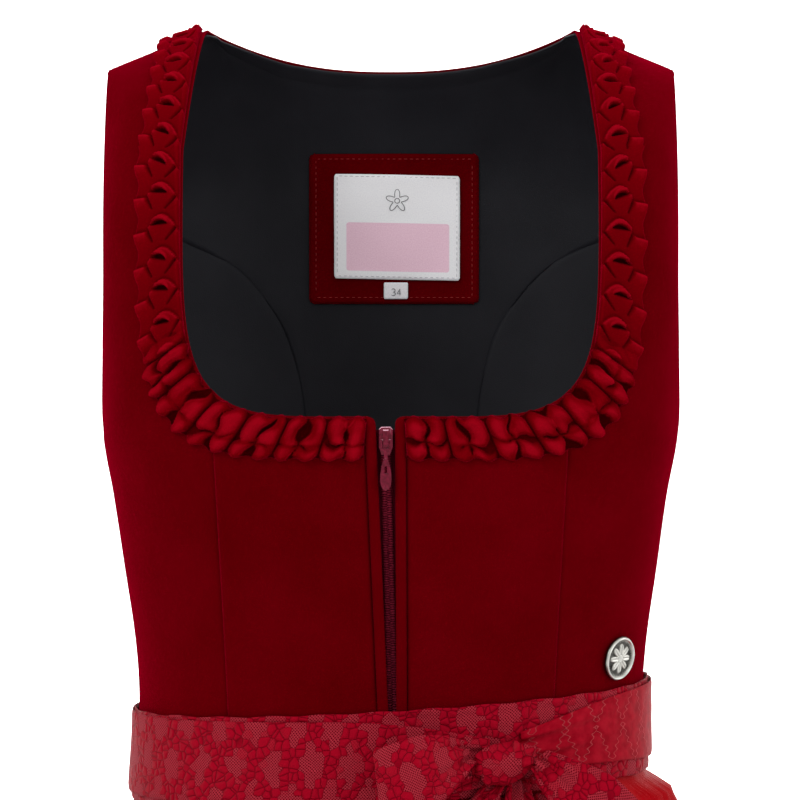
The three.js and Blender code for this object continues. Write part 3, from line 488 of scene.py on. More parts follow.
EDGE_INSET, FRONT_WIDTH = 5.4, 77  # where the centre front starts beside the zip edge, and how wide it is
for side, mirror in SIDES:
    flip = np.array([mirror, 1, 1])

    # Centre front: from the turned edge to the princess seam, and up to the neck. The band beside the edge
    # is stitched down 9 mm in, so the cloth dips there.
    U, V = grid(64, 120)
    top_x = mix(closure_x(side, CLOSURE_TOP_Z) * mirror + EDGE_INSET, PRINCESS_TOP_X + 0.1, U)
    z = mix(SEAM_Z, neck_z(top_x), V)
    x = mix(closure_x(side, z) * mirror + EDGE_INSET, princess_x(z) + 0.1, U)
    across = U * FRONT_WIDTH
    relief = seam_ditch(across, 1.7, 1.1) + seam_ditch(across - 10.5, 1.0, 0.4)
    relief = relief + seam_ditch(across - FRONT_WIDTH, 2.0, 0.5)
    relief += 0.5 * np.sin(V * 9 + 4 * U + mirror) * np.sin(U * math.pi) * np.sin(V * math.pi)
    relief += 0.25 * np.sin(V * 31 + mirror) * np.exp(-((across - 5) / 3) ** 2)
    points = on_bodice(True, x, z) * flip
    piece = cloth(f"bodice_centre_front_{side}", points, mirror, FRONT_WALL, velvet, relief)

    # Side front: from the princess seam to the side seam, and up between neck and armhole as the strap.
    # Its reach down from the shoulder runs to nothing at the shoulder seam.
    U, V = grid(44, 150)
    low, up = np.clip(V / LOW_SHARE, 0, 1), np.clip((V - LOW_SHARE) / (1 - LOW_SHARE), 0, 1)
    z = mix(SEAM_Z, CHEST_Z, low)
    inner = share_where(True, 0, np.where(z > PRINCESS_TOP_Z, neck_x(z), princess_x(z) + 0.05), z)
    s = mix(inner, edge_share(True, z) - np.where(z < UNDERARM_Z, 0.001, 0), U)
    r = reach_at(z, on_quarter(BODICE, True, s, z)[0]) * (1 - up)
    z_in, z_out = height_at(r[:1], 103) + 0 * r, height_at(r[-1:], 149) + 0 * r
    z_in = height_at(r[:1], neck_x(z_in))
    over_s = mix(share_where(True, 0, neck_x(z_in), z_in), edge_share(True, z_out), U)
    s = np.where(up > 0, over_s, s)
    points = bodice_surface(True, s, r) * flip
    width = mix(52, 62, V)
    relief = seam_ditch(U * 78, 2.0, 0.5) * (z < PRINCESS_TOP_Z)
    relief = relief + 0.5 * np.sin(V * 14 + 5 * U) * np.sin(U * math.pi)
    relief += 0.8 * np.sin(U * 9 + V * 6 + mirror) * np.exp(-(((z + 240) / 40) ** 2)) * np.sin(U * math.pi)
    relief += seam_ditch((1 - U) * width - 4, 1.4, 0.35) * (z > UNDERARM_Z)  # armhole, turned and stitched
    piece = cloth(f"bodice_side_front_{side}", points, mirror, FRONT_WALL, velvet, relief)

    # Turned front edge: the soft roll beside the zip, rounded off at its top corner.
    U, V = grid(22, 110)
    top = neck_z(np.zeros_like(U)) - 4.2 * (1 - np.sqrt(np.clip(1 - (1 - U) ** 3, 0, 1)))
    z = mix(SEAM_Z, top, V)
    x = closure_x(side, z) * mirror + 6.2 * U
    proud = mix(0.3, 1.25, smooth((z + 343) / 14))
    bulge = np.sqrt(np.clip(1 - (2 * U - 1) ** 2, 0, 1)) * (1 + 0.1 * np.sin(z / 7 + mirror))
    points = on_bodice(True, x, z) * flip
    piece = cloth(f"front_edge_{side}", points, mirror, FRONT_WALL, velvet, proud * bulge - 0.5 * (1 - bulge))


# ======== Bodice back and its lining ===============================================================
# Centre back with both straps and a side back on each side, of the same velvet. Behind them lies the
# dark lining, seamed along the same curves, which shows through the neck.
# The inner share of the centre back ends at the neck, the rest above it.
SEAM_HALF, NECK_SHARE = GAP / 2, 0.75


def seam_share(z, past=-SEAM_HALF):
    return share_where(False, 0, curve(BACK_SEAM, 1, z) + past, z)


def low_rows(rows):
    return mix(SEAM_Z, CHEST_Z, np.clip(rows / LOW_SHARE, 0, 1))


def centre_back(far, rows):
    """Share and reach at far (0 middle, 1 outer edge) over rows from waist to shoulder: first of the part
    that ends at the neck, then of the outer edge."""
    up = np.clip((rows - LOW_SHARE) / (1 - LOW_SHARE), 0, 1)
    z = low_rows(rows)
    s = far * seam_share(z)
    r = reach_at(z, on_quarter(BODICE, False, s, z)[0])
    end_x = np.minimum(far / NECK_SHARE, 1) * NECK_X
    end_z = -NECK_BACK * (1 - np.minimum(far / NECK_SHARE, 1) ** 2.4)
    end_r = np.where(far < NECK_SHARE, reach_at(end_z, end_x), 0)
    own_s, own_r = mix(s, share_where(False, 0, end_x, end_z), up**0.7), mix(r, end_r, up)
    edge_z = np.interp(up, np.linspace(0, 1, 7), [CHEST_Z, -112, -97, -78, -58, -38, TIP_Z])
    edge_s = np.minimum(np.where(edge_z < BACK_SEAM_TOP_Z, seam_share(edge_z), 2), edge_share(False, edge_z))
    edge_x = on_quarter(BODICE, False, edge_s, edge_z)[0]
    return own_s, own_r, edge_s, reach_at(edge_z, edge_x) * (1 - smooth((edge_z + 38) / 16))


lining = Look("lining", "lining", Roughness=0.62, Specular_IOR_Level=0.15)
cloud = lining.texture("Noise", Scale=30.0, Detail=4.0)
lining.colour(cloud, (0.3, (0.006, 0.006, 0.0085)), (0.7, (0.009, 0.009, 0.012)))
lining.bump(lining.texture("Noise", Scale=2200.0, Detail=1.0), 0.0002, 0.5)

for name, wall, out, finish, soften in (
    ("bodice", BACK_WALL, 0.0, velvet, 0.5),
    ("lining", LINING_WALL, -1.8, lining, 0.05),
):
    U, ROW = np.meshgrid(np.linspace(-1, 1, 81), np.linspace(0, 1, 126), indexing="ij")
    far = np.abs(U)
    own = centre_back(np.minimum(far, NECK_SHARE), ROW)
    inner, outer = centre_back(np.full_like(far, NECK_SHARE), ROW), centre_back(np.ones_like(far), ROW)
    t = np.clip((far - NECK_SHARE) / (1 - NECK_SHARE), 0, 1)
    s = np.where(far > NECK_SHARE, mix(inner[0], outer[2], t), own[0])
    r = np.where(far > NECK_SHARE, mix(inner[1], outer[3], t), own[1])
    low, low_z = ROW < LOW_SHARE, low_rows(ROW)
    s = np.where(low, far * seam_share(low_z), s)
    r = np.where(low, reach_at(low_z, on_quarter(BODICE, False, s, low_z)[0]), r)
    points = bodice_surface(False, s, r)
    points[..., 0] *= np.where(U < 0, -1, 1)
    points = points + normals(points, -1) * out
    allowance = (ROW > 0.999) * (far > 0.76)  # the last row is turned in under the front strap
    points = points + allowance[..., None] * np.array([0, -2.4, -1.3])
    if name == "bodice":
        relief = seam_ditch((1 - far) * 48, 1.5, 0.7)
    else:
        folds = 0.4 * np.sin(points[..., 0] / 7 + 0.4 * np.sin(points[..., 2] / 23))
        hem = (1 - ROW) / (1 - LOW_SHARE) * 105 - 10
        relief = -0.4 + folds * (np.abs(points[..., 0]) > 50) + 0.45 * np.exp(-((hem / 1.6) ** 2))
        relief = relief - 0.3 * seam_ditch((1 - far) * 48, 2.2, 1.0)
    piece = cloth(f"{name}_centre_back", points, -1, wall, finish, relief, soften)
    for side, mirror in SIDES:
        U, V = grid(40, 96)
        z = mix(SEAM_Z, BACK_SEAM_TOP_Z, V)
        inner = seam_share(z, SEAM_HALF if name == "bodice" else -1.5)
        s = mix(inner, edge_share(False, z) - np.where(z < UNDERARM_Z, 0.001, 0), U)
        r = reach_at(z, on_quarter(BODICE, False, s, z)[0])
        points = bodice_surface(False, s, r) * np.array([mirror, 1, 1])
        points = points + normals(points, -mirror) * out
        allowance = (U > 0.999) * (z < UNDERARM_Z)  # the last column is turned in under the front
        points = points + allowance[..., None] * np.array([-1.1 * mirror, -2.6, 0])
        wave = 0.5 * np.sin(V * 17 + U * 5) * np.sin(U * math.pi)
        if name == "bodice":
            relief = seam_ditch(U * 90, 1.5, 0.7) + wave
        else:
            relief = 0.8 * wave - 0.4 + 0.5 * np.exp(-((U * 90 / 2.5) ** 2))
        piece = cloth(f"{name}_side_back_{side}", points, -mirror, wall, finish, relief, soften)


# ======== Ruched trim round the front of the neck ==================================================
# A doubled strip of velvet laid in box pleats, each caught together by a stitch at its middle, so that
# it opens like two small mouths. Nineteen to a side, closer together up the sides.
def beside_neck(q, away):
    """x, z and reach beside the neck's edge: q runs 0 to 1 round the curve, then to 2 up to the shoulder."""
    angle = np.minimum(q, 1) * math.pi / 2
    x = (NECK_HALF + away) * np.sin(angle) ** (2 / NECK_SQUARE)
    z = NECK_CORNER_Z - (NECK_DEPTH + away) * np.clip(np.cos(angle), 0, 1) ** (2 / NECK_SQUARE)
    r_up = reach_at(NECK_CORNER_Z, NECK_HALF + away) * (2 - np.maximum(q, 1))
    x_up = neck_x(height_at(r_up, NECK_HALF)) + away
    z_up = height_at(r_up, x_up)
    return np.where(q < 1, x, x_up), np.where(q < 1, z, z_up), np.where(q < 1, reach_at(z, x), r_up)


def on_trim(q, away):
    x, z, r = beside_neck(q, away)
    return bodice_surface(True, share_where(True, 0, x, z), r)


# The trim's colour is painted shade and painted highlight: black in the mouths and bright on the crests, as
# the painted shading written on each point says.
trim_velvet_painted_shading = velvet_look("velvet_trim_painted_shading")
trim_velvet_painted_shading.colour(
    trim_velvet_painted_shading.attribute("painted_shading"),
    (0.02, (0.014, 0.0, 0.0)), (0.35, (0.075, 0.0, 0.001)),
    (0.75, (0.135, 0.0, 0.002)), (1.0, (0.23, 0.001, 0.006)),
)
UNITS, WIDE_UNITS, WIDE = 19, 5, 1.3
TRIM_HALF, UNIT_ROWS, TRIM_COLUMNS = 11, 31, 43
for side, mirror, start in (("left", 1, 7.2), ("right", -1, 12.6)):
    t = np.linspace(0, 1, 1201)
    # Even steps along the curve, which turns so sharply at its ends.
    q = t**2.75 / (t**2.75 + (1 - t) ** 2.75)
    q = np.concatenate([q, np.linspace(1, 2, 401)[1:]])
    q = q[beside_neck(q, TRIM_HALF)[0] >= start]
    middle = on_trim(q, TRIM_HALF)
    run = np.concatenate([[0], np.cumsum(np.linalg.norm(np.diff(middle, axis=0), axis=1))])
    total = UNITS + WIDE_UNITS * (WIDE - 1)
    unit = np.linspace(0, UNITS, UNITS * UNIT_ROWS + 1)[:, None] * np.ones((1, TRIM_COLUMNS))
    b = np.ones_like(unit) * np.linspace(-1, 1, TRIM_COLUMNS)[None]
    rng = np.random.default_rng(5 if side == "left" else 9)
    jog = rng.uniform(-1, 1, (40, UNITS + 2))
    run_at = (np.minimum(unit, WIDE_UNITS) * WIDE + np.maximum(0, unit - WIDE_UNITS)) / total * run[-1]
    q_at = np.interp(run_at, run, q)

    # Along the bottom each pleat is pinched by its stitch into four puffs, which stand round it like a bow
    # tie, with an open mouth above and below. Here x runs along the strip from the stitch and y to the neck.
    pitch = run[-1] / total
    k = np.clip(np.floor(unit), 0, UNITS - 1).astype(int)
    x = (unit - k - 0.5) * WIDE * pitch + 1.1 * jog[0, k]
    y = -TRIM_HALF * b + 2.2 + 1.3 * jog[1, k]
    r, angle = np.hypot(x, y), np.arctan2(y, x)
    puffs, lips = np.zeros_like(b), np.zeros_like(b)
    for quarter_turn, (lean, open_by) in enumerate(((0.12, 0.13), (-0.1, 0.12), (0.0, 0.24), (0.05, 0.26))):
        j = jog[2 + 5 * quarter_turn : 7 + 5 * quarter_turn][:, k]
        flip = 1 if quarter_turn in (0, 3) else -1
        seen = np.arctan2(y * (1 if quarter_turn < 2 else -1), x * flip) - lean - 0.16 * j[0]
        seen = seen + 0.30 * np.sin(r / 3.0 + 3 * j[3]) * smooth(r / 4)  # the folds bend as they run out
        wide = math.pi / 2 - open_by - 0.16 * j[1] - lean
        across = np.clip(seen / wide, 0, 1)
        swell = 1 + 0.16 * np.sin(r / 2.1 + 5 * j[4])
        dome = np.sqrt(np.clip(1 - (2 * across**0.85 - 1) ** 2, 0, 1))
        puffs = np.maximum(puffs, (4.8 + 0.8 * j[2]) * swell * dome)
        off = r * (seen - wide)
        lips = np.maximum(lips, np.exp(-(((off + 0.5) / 0.55) ** 2)) * smooth((r - 2) / 2.5))
    # Painted shade in the open mouths and along the crease at the stitch: these two masks darken only the
    # colour.
    mouth_painted_shade = np.clip(1 - puffs / 1.6, 0, 1) * (np.abs(y) > np.abs(x)) * smooth((r - 0.5) / 2)
    crease_painted_shade = np.exp(-(y / (0.35 + 0.08 * r)) ** 2) * (1 - np.exp(-r / 3))
    a = 2 * (unit - k) - 1
    ends = (np.abs(b) * (1 + 0.25 * (np.abs(a) - 0.5) ** 2)) ** 7
    side_fall = np.sqrt(np.clip(1 - np.abs(a) ** 6 - ends, 0, 1))
    wrinkle = 0.22 * np.sin(1.1 * x + 0.7 * y + 9 * jog[22, k]) * np.sin(0.5 * y - 0.9 * x + 7 * jog[23, k])
    puffs = 0.5 + (puffs + wrinkle) * (1 - np.exp(-r / 2.0)) * side_fall + 0.6 * lips * side_fall
    # Painted shading of the lower pleats: darker where the puffs are low, in the mouths, in the crease and
    # down the side falls, with a painted highlight on the lips.
    low_painted_shading = (0.25 + 0.75 * np.clip(puffs / 5.2, 0, 1)) * (1 - 0.7 * mouth_painted_shade) * (1 - 0.25 * crease_painted_shade)
    low_painted_shading = low_painted_shading * (0.45 + 0.55 * side_fall) + 0.2 * lips * side_fall

    # Up the sides the pleats are closer: each laps over the one below like a scale, with an arched lip over
    # its open mouth and a slit on either side. Here x runs outwards from the neck and y up, in millimetres.
    x = TRIM_HALF * b + 0.3
    arch = 4 - 0.14 * np.clip(x + 1.8, -9, 7) ** 2
    k = np.clip(np.ceil(unit - arch / pitch), 0, UNITS + 1).astype(int)
    y = (unit - k) * pitch
    below = arch - y
    x, y = x + 0.7 * jog[30, k], y + 0.5 * jog[31, k]
    scale = 2.0 + 2.3 * np.exp(-np.clip(below, 0, None) / 5.5)
    turn = 0.35 + 0.25 * jog[32, k]
    along, over = (x + 1) * np.cos(turn) + y * np.sin(turn), y * np.cos(turn) - (x + 1) * np.sin(turn)
    roof = 1.5 + 0.4 * jog[33, k] - 0.12 * along**2
    eye = smooth((over + 1.7) / 1.0) * smooth((roof - over) / 0.8)
    lid = np.exp(-(((over - roof - 0.7) / 0.6) ** 2)) * smooth((5.4 - np.abs(along)) / 1.6)

    def slit(x0, y0, x1, y1, width, x=x, y=y):
        dx, dy = x1 - x0, y1 - y0
        t = np.clip(((x - x0) * dx + (y - y0) * dy) / (dx**2 + dy**2), 0, 1)
        off = np.hypot(x - mix(x0, x1, t), y - mix(y0, y1, t))
        return np.exp(-((off / (width * (1.2 - 0.7 * t))) ** 2))

    slits = np.clip(slit(-9.2, -4.8, -4, -9.5, 0.8) + slit(5.2, -0.2, 2.6, -8.6, 0.8), 0, 1)
    outer_puff = 3.7 * np.sqrt(np.clip(1 - ((x - 8.2) / 3.4) ** 2 - ((y + 4.6) / 5.4) ** 2, 0, 1))
    pit = np.exp(-((x - 8.2) ** 2 + (y + 1.2) ** 2) / 1.1)
    scale = np.maximum(scale + 0.9 * lid, outer_puff) + 0.7 * np.exp(-((x + 9.8) / 0.7) ** 2)
    scale = mix(mix(scale, 0.5, 0.95 * eye), 0.9, 0.8 * np.clip(slits + pit, 0, 1))
    # Painted highlight along each scale's lip, which only lightens the colour.
    lip_painted_highlight = np.exp(-((below - 0.6) / 0.5) ** 2)
    # Painted shading of the scales: lighter where they stand high, with painted shade in the eyes, slits and
    # pits, a painted shadow at the foot of each scale beside the next lip, and painted highlights on the lips
    # and lids.
    high_painted_shading = (0.3 + 0.7 * np.clip((scale - 0.6) / 3.9, 0, 1)) * (1 - 0.85 * eye)
    high_painted_shading = high_painted_shading * (1 - 0.55 * slits) * (1 - 0.5 * pit)
    high_painted_shading = high_painted_shading * (1 - 0.4 * np.exp(-((below - pitch + 0.6) / 0.9) ** 2))
    high_painted_shading = high_painted_shading + 0.25 * (lip_painted_highlight + 0.8 * lid)

    lap = smooth((unit - 5.6) / 1.2)
    height = mix(puffs, scale, lap) * np.clip(1 - np.abs(b) ** 16, 0, 1) ** 0.5 + 0.2
    # Painted shading of the whole trim, with more painted shade towards the strip's edges.
    painted_shading = mix(low_painted_shading, high_painted_shading, lap) * (1 - 0.35 * np.abs(b) ** 12)
    bulge = mix(-0.9 * np.cos(2 * math.pi * a), 0.9 * np.cos(2 * math.pi * (y + 4.6) / pitch), lap)
    away = TRIM_HALF + b * (TRIM_HALF + bulge * np.where(b > 0, 1, 0.9 * (1 - lap)))
    points = on_trim(q_at, np.clip(away, -0.8, 23.2)) * np.array([mirror, 1, 1])
    points = points + normals(points, -mirror) * (height + 0.4)[..., None]
    cloth(f"neck_trim_{side}", points, -mirror, 1.0, trim_velvet_painted_shading, soften=0.3, painted_shading=painted_shading)

# ======== Zip ======================================================================================
# A burgundy tape with a nylon coil chain up the middle; a lacquered slider stands at its top, and its
# drop-shaped pull tab hangs from the slider's arch on a bar and swings up.
zip_tape = Look("zip_tape", "zip_tape", Roughness=0.85, Specular_IOR_Level=0.02)
twill = zip_tape.texture("Wave", Scale=520.0, Distortion=0.4)
zip_tape.colour(twill, (0.2, (0.03, 0.0, 0.003)), (0.9, (0.075, 0.001, 0.008)))
zip_tape.bump(twill, 0.0002, 0.6)
TAPE_HALF, TAPE_OUT, CHAIN_OUT, ROW_X, TURN_PITCH = 13, -5.2, -3.6, 1.25, 1.25


def zip_x(z):
    return (closure_x("right", z) + closure_x("left", z)) / 2


U, V = grid(13, 90)
z = mix(WAIST_Z + 1, CLOSURE_TOP_Z - 2, V)
points = on_bodice(True, zip_x(z) + TAPE_HALF * (2 * U - 1), z, TAPE_OUT)
piece = cloth("zip_tape", points, 1, 0.8, zip_tape)

# The chain: two rows of coil turns, each a bead across the tape, that meet in the middle.
coil = Look("zip_coil", "zip_tape", Roughness=0.5, Specular_IOR_Level=0.12, Specular_Tint=(1.0, 0.2, 0.3, 1))
coil.colour(coil.texture("Noise", Scale=900.0), (0.3, (0.06, 0.001, 0.006)), (0.7, (0.17, 0.01, 0.024)))
z = np.arange(WAIST_Z + 2, CLOSURE_TOP_Z - 4.5, TURN_PITCH)
spine = on_bodice(True, zip_x(z)[None] + np.array([[-0.1], [0.0], [0.1]]), np.stack([z] * 3), CHAIN_OUT)[1]
rows = np.concatenate([spine - [ROW_X, 0, 0], spine + [ROW_X, 0, TURN_PITCH / 2]])
chain = placed("zip_chain", rows, [], coil, "zip_chain")
turns = bpy.data.node_groups.new("coil_turns", "GeometryNodeTree")
for name, way, kind in (
    ("Geometry", "INPUT", "Geometry"),
    ("Length", "INPUT", "Float"),
    ("Thickness", "INPUT", "Float"),
    ("Geometry", "OUTPUT", "Geometry"),
):
    turns.interface.new_socket(name, in_out=way, socket_type="NodeSocket" + kind)
take, give, bead, scale, spread, real, paint = (
    turns.nodes.new(kind)
    for kind in (
        "NodeGroupInput", "NodeGroupOutput", "GeometryNodeMeshUVSphere", "ShaderNodeCombineXYZ",
        "GeometryNodeInstanceOnPoints", "GeometryNodeRealizeInstances", "GeometryNodeSetMaterial",
    )
)
for socket, value in (("Segments", 10), ("Rings", 7), ("Radius", 1.0)):
    bead.inputs[socket].default_value = value
paint.inputs["Material"].default_value = coil.material
for start, end in (
    (take.outputs["Length"], scale.inputs[0]),
    (take.outputs["Thickness"], scale.inputs[1]),
    (take.outputs["Thickness"], scale.inputs[2]),
    (take.outputs["Geometry"], spread.inputs["Points"]),
    (bead.outputs["Mesh"], spread.inputs["Instance"]),
    (scale.outputs[0], spread.inputs["Scale"]),
    (spread.outputs[0], real.inputs[0]),
    (real.outputs[0], paint.inputs[0]),
    (paint.outputs[0], give.inputs[0]),
):
    turns.links.new(start, end)
grow = chain.modifiers.new("coil", "NODES")
grow.node_group = turns
for socket, value in (("Length", 0.0015), ("Thickness", 0.00052)):
    grow[next(i.identifier for i in turns.interface.items_tree if i.name == socket)] = value
cast(chain)

# The slider and its pull tab are cast metal under a glossy burgundy lacquer, with a painted pink highlight
# where they look up.
lacquer = Look("lacquered_metal", "zip_metal", Metallic=0.6, Roughness=0.27)
flecks = lacquer.texture("Noise", Scale=700.0, Detail=3.0)
dark = lacquer.ramp(flecks, (0.35, (0.10, 0.002, 0.012)), (0.7, (0.2, 0.006, 0.03)))
# Painted highlight: faces that look up are painted pink, where the lamps above would catch them.
up = lacquer.split(lacquer.coordinates("Normal"))[2]
upward_painted_highlight = Wire(lacquer, lacquer.add("MapRange", Value=up, From_Min=0.12, From_Max=0.55).outputs["Result"])
lacquer.surface(Base_Color=lacquer.mixed(upward_painted_highlight, dark, (0.8, 0.42, 0.52, 1)))
lacquer.bump(flecks, 0.0002, 0.25)

for name, node_name, body, width in (
    ("slider", "zip_slider", "dress", 0.00045),
    ("pull_tab", "zip_pull", "zip_pull", 0.0003),
):
    casting = bpy.data.objects.new(name, bpy.data.objects[node_name].data.copy())
    casting.data.materials.clear()
    casting.data.materials.append(lacquer.material)
    scene.collection.objects.link(casting)
    casting.modifiers.new("weld", "WELD").merge_threshold = 1e-6
    flat = casting.modifiers.new("flat", "DECIMATE")
    flat.decimate_type, flat.angle_limit = "DISSOLVE", math.radians(1)
    round_ = casting.modifiers.new("round", "BEVEL")
    round_.width, round_.segments, round_.angle_limit = width, 3, math.radians(28)
    cast(casting).set_sharp_from_angle(angle=math.radians(40))
    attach(casting, body)
    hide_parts(node_name)

# ======== Label, its patch and the size tag ========================================================
# A velvet patch is sewn to the back lining under the neck; a white woven label with a plain pink panel
# lies on it, and a small white size tag with a number hangs from its lower edge.
PATCH, LABEL, TAG = (-44, 47, -147, -65.5), (-30.7, 36.9, -134, -77), (-4, 9, -144.5, -135.6)  # x, x, z, z
LABEL_TURN, PATCH_OUT, LABEL_OUT = 0.02, -4.0, -5.8


def rounded(columns, rows, box, corner, turn=0.0):
    """A flat piece with rounded corners: its grid is drawn in at the ends of its top and bottom edges."""
    U, V = grid(columns, rows)
    x0, x1, z0, z1 = box
    x, z = mix(x0, x1, U), mix(z0, z1, V)
    near = np.minimum(np.minimum(V, 1 - V) * (z1 - z0), corner)
    inset = corner - np.sqrt(np.clip(corner**2 - (corner - near) ** 2, 0, None))
    x = np.clip(x, x0 + inset, x1 - inset)
    return x, z - x * turn


x, z = rounded(60, 54, PATCH, 3)
edge = np.minimum(np.minimum(x - PATCH[0], PATCH[1] - x), np.minimum(z - PATCH[2], PATCH[3] - z))
puff = 0.5 * np.exp(-(((edge - 2.2) / 1.6) ** 2)) + 0.15 * np.sin(x / 6) * np.sin(z / 9) - 0.5
piece = cloth("label_patch", on_bodice(False, x, z, PATCH_OUT), -1, 1.2, velvet, -puff - 0.2)

# The panel is drawn by its distance from a rounded rectangle, in millimetres of the cloth's own UV.
PANEL, PANEL_CORNER, PANEL_EDGE = ((-28, 27.5), (4.2, 30.5)), 1.6, 0.3
woven = Look("woven_label", "woven_label", Roughness=0.7)
outside = []
for at, (low, high) in zip(woven.split(woven.coordinates("cloth")), PANEL):
    off = abs(at * 1000.0 - (low + high) / 2) - ((high - low) / 2 - PANEL_CORNER)
    outside.append(off.most(0.0) ** 2.0)
far = (outside[0] + outside[1]).math("SQRT")
panel = (PANEL_CORNER - far).math("DIVIDE", PANEL_EDGE, clamp=True)
threads = woven.texture("Noise", "cloth", Scale=1500.0, Detail=2.0)
white = woven.ramp(threads, (0.3, (0.88, 0.88, 0.91)), (0.7, (0.97, 0.97, 0.98)))
pink = woven.ramp(threads, (0.3, (0.86, 0.55, 0.68)), (0.7, (0.95, 0.66, 0.77)))
woven.surface(Base_Color=woven.mixed(panel, white, pink))
woven.bump(woven.texture("Wave", "cloth", Scale=800.0, bands_direction="Y"), 0.0002, 0.5)

x, z = rounded(50, 44, LABEL, 0.8, LABEL_TURN)
buckle = 0.25 * np.sin(x / 8 + 1) * np.sin(z / 7)
piece = cloth("label", on_bodice(False, x, z, LABEL_OUT), -1, 1.0, woven, -buckle, soften=0.2)

tag_white = Look("tag_white", "woven_label", Roughness=0.7)
grain = tag_white.texture("Noise", Scale=1800.0, Detail=2.0)
tag_white.colour(grain, (0.3, (0.72, 0.72, 0.75)), (0.7, (0.86, 0.86, 0.88)))
tag_white.bump(grain, 0.0002, 0.4)
x, z = rounded(16, 14, TAG, 0.4)
points = on_bodice(False, x, z, LABEL_OUT)
piece = cloth("size_tag", points, -1, 0.8, tag_white, 0.2 * np.sin(x / 3), soften=0.2)


# The size, a plain 34, is woven in grey: each stroke of a figure is a short raised thread. The label is
# sewn down all round in pale thread, and the patch in red.
def thread_look(name, slot, dark, light, roughness):
    look = Look(name, slot, Roughness=roughness)
    look.colour(look.texture("Noise", Scale=2500.0), (0.3, dark), (0.7, light))
    return look


grey = thread_look("grey_thread", "woven_label", (0.03, 0.03, 0.035), (0.09, 0.09, 0.10), 0.7)
pale = thread_look("pale_thread", "woven_label", (0.40, 0.40, 0.43), (0.55, 0.55, 0.58), 0.6)
red = thread_look("red_thread", "velvet", (0.25, 0.005, 0.004), (0.36, 0.02, 0.012), 0.6)


def thread(name, runs, radius, look, sides=6):
    """Round threads along runs of points in millimetres, all in one mesh."""
    vertices, faces = [], []
    angles = 2 * math.pi * np.arange(sides)[:, None] / sides
    for run in runs:
        run = np.asarray(run, float)
        along = np.gradient(run, axis=0)
        along /= np.maximum(np.linalg.norm(along, axis=1, keepdims=True), 1e-9)
        beside = np.cross(along, np.array([0.02, -1.0, 0.03]))
        beside /= np.maximum(np.linalg.norm(beside, axis=1, keepdims=True), 1e-9)
        up = np.cross(beside, along)
        first, last = len(vertices), len(run) - 1
        for k, at in enumerate(run):
            r = radius * (0.55 if k in (0, last) else 1.0)
            vertices.extend(at + r * (np.cos(angles) * beside[k] + np.sin(angles) * up[k]))
        for k in range(last):
            for m in range(sides):
                n = (m + 1) % sides
                a, b = first + k * sides, first + (k + 1) * sides
                faces.append((a + m, a + n, b + n, b + m))
        faces.append(tuple(first + m for m in reversed(range(sides))))
        faces.append(tuple(first + last * sides + m for m in range(sides)))
    return placed(name, vertices, faces, look)


def over_lining(x, z, out):
    """Points of one run of thread, at a distance towards the wearer."""
    run = on_bodice(False, np.stack([x, x + 0.1]), np.stack([z, z]))[0]
    run[:, 1] -= out
    return run


THREE = (
    ((0, 0.9), (0.25, 1), (0.6, 1), (0.85, 0.85), (0.85, 0.66), (0.6, 0.53), (0.35, 0.52)),
    ((0.35, 0.52), (0.65, 0.5), (0.9, 0.36), (0.9, 0.16), (0.65, 0), (0.25, 0), (0, 0.1)),
)
FOUR = (((0.68, 0), (0.68, 0.5), (0.68, 1), (0.35, 0.62), (0, 0.27), (0.5, 0.27), (0.95, 0.27)),)
FIGURE_Z, FIGURE_HEIGHT, FIGURE_WIDTH = -142.3, 3.6, 0.62 * 3.6
runs = []
for figure, x0 in ((THREE, 0.2), (FOUR, 3.1)):
    for stroke in figure:
        p = np.array(stroke, float)
        runs.append(over_lining(x0 + p[:, 0] * FIGURE_WIDTH, FIGURE_Z + p[:, 1] * FIGURE_HEIGHT, 6.75))
# Above the panel stands a small flower of five petals in the same thread.
turn = np.linspace(0, 2 * math.pi, 121)
for reach in (4.3 + 1.9 * np.cos(5 * turn), 1.3):
    runs.append(over_lining(3.2 + reach * np.sin(turn), -91.5 + reach * np.cos(turn), 6.9))
thread("size_number", runs, 0.16, grey)


def stitches(x0, x1, z0, z1, turn, long, pitch, depth):
    """Short straight stitches round a rectangle on the back lining."""
    corners = np.array([(x0, z0), (x1, z0), (x1, z1), (x0, z1), (x0, z0)], float)
    runs = []
    for start, end in zip(corners[:-1], corners[1:]):
        length = np.linalg.norm(end - start)
        for at in np.arange(pitch / 2, length - pitch / 2, pitch):
            steps = at + np.array([[-0.5], [-0.2], [0.2], [0.5]]) * long
            x, z = (start + (end - start) * steps / length).T
            runs.append(over_lining(x, z - x * turn, depth - np.array([0.25, 0, 0, 0.25])))
    return runs


thread("label_stitches", stitches(-29, 35.2, -132.3, -78.7, LABEL_TURN, 1.9, 2.9, 6.85), 0.15, pale)
thread("patch_stitches", stitches(-40.4, 43.4, -143.4, -69.1, 0.0, 2.1, 3.1, 5.35), 0.15, red)

# ======== Badge ====================================================================================
# A pewter button badge with a cast rosette of eight petals inside a raised rim, fixed with a pin.
pewter = Look("pewter", "pewter", Metallic=1.0, Roughness=0.34)
tarnish = pewter.texture("Noise", Scale=260.0, Detail=4.0)
pewter.colour(
    pewter.attribute("depth") + tarnish * 0.35,
    (0.25, (0.02, 0.018, 0.016)), (0.6, (0.34, 0.33, 0.30)), (1.0, (0.62, 0.61, 0.57)),
)
pewter.bump(tarnish, 0.0003, 0.3)

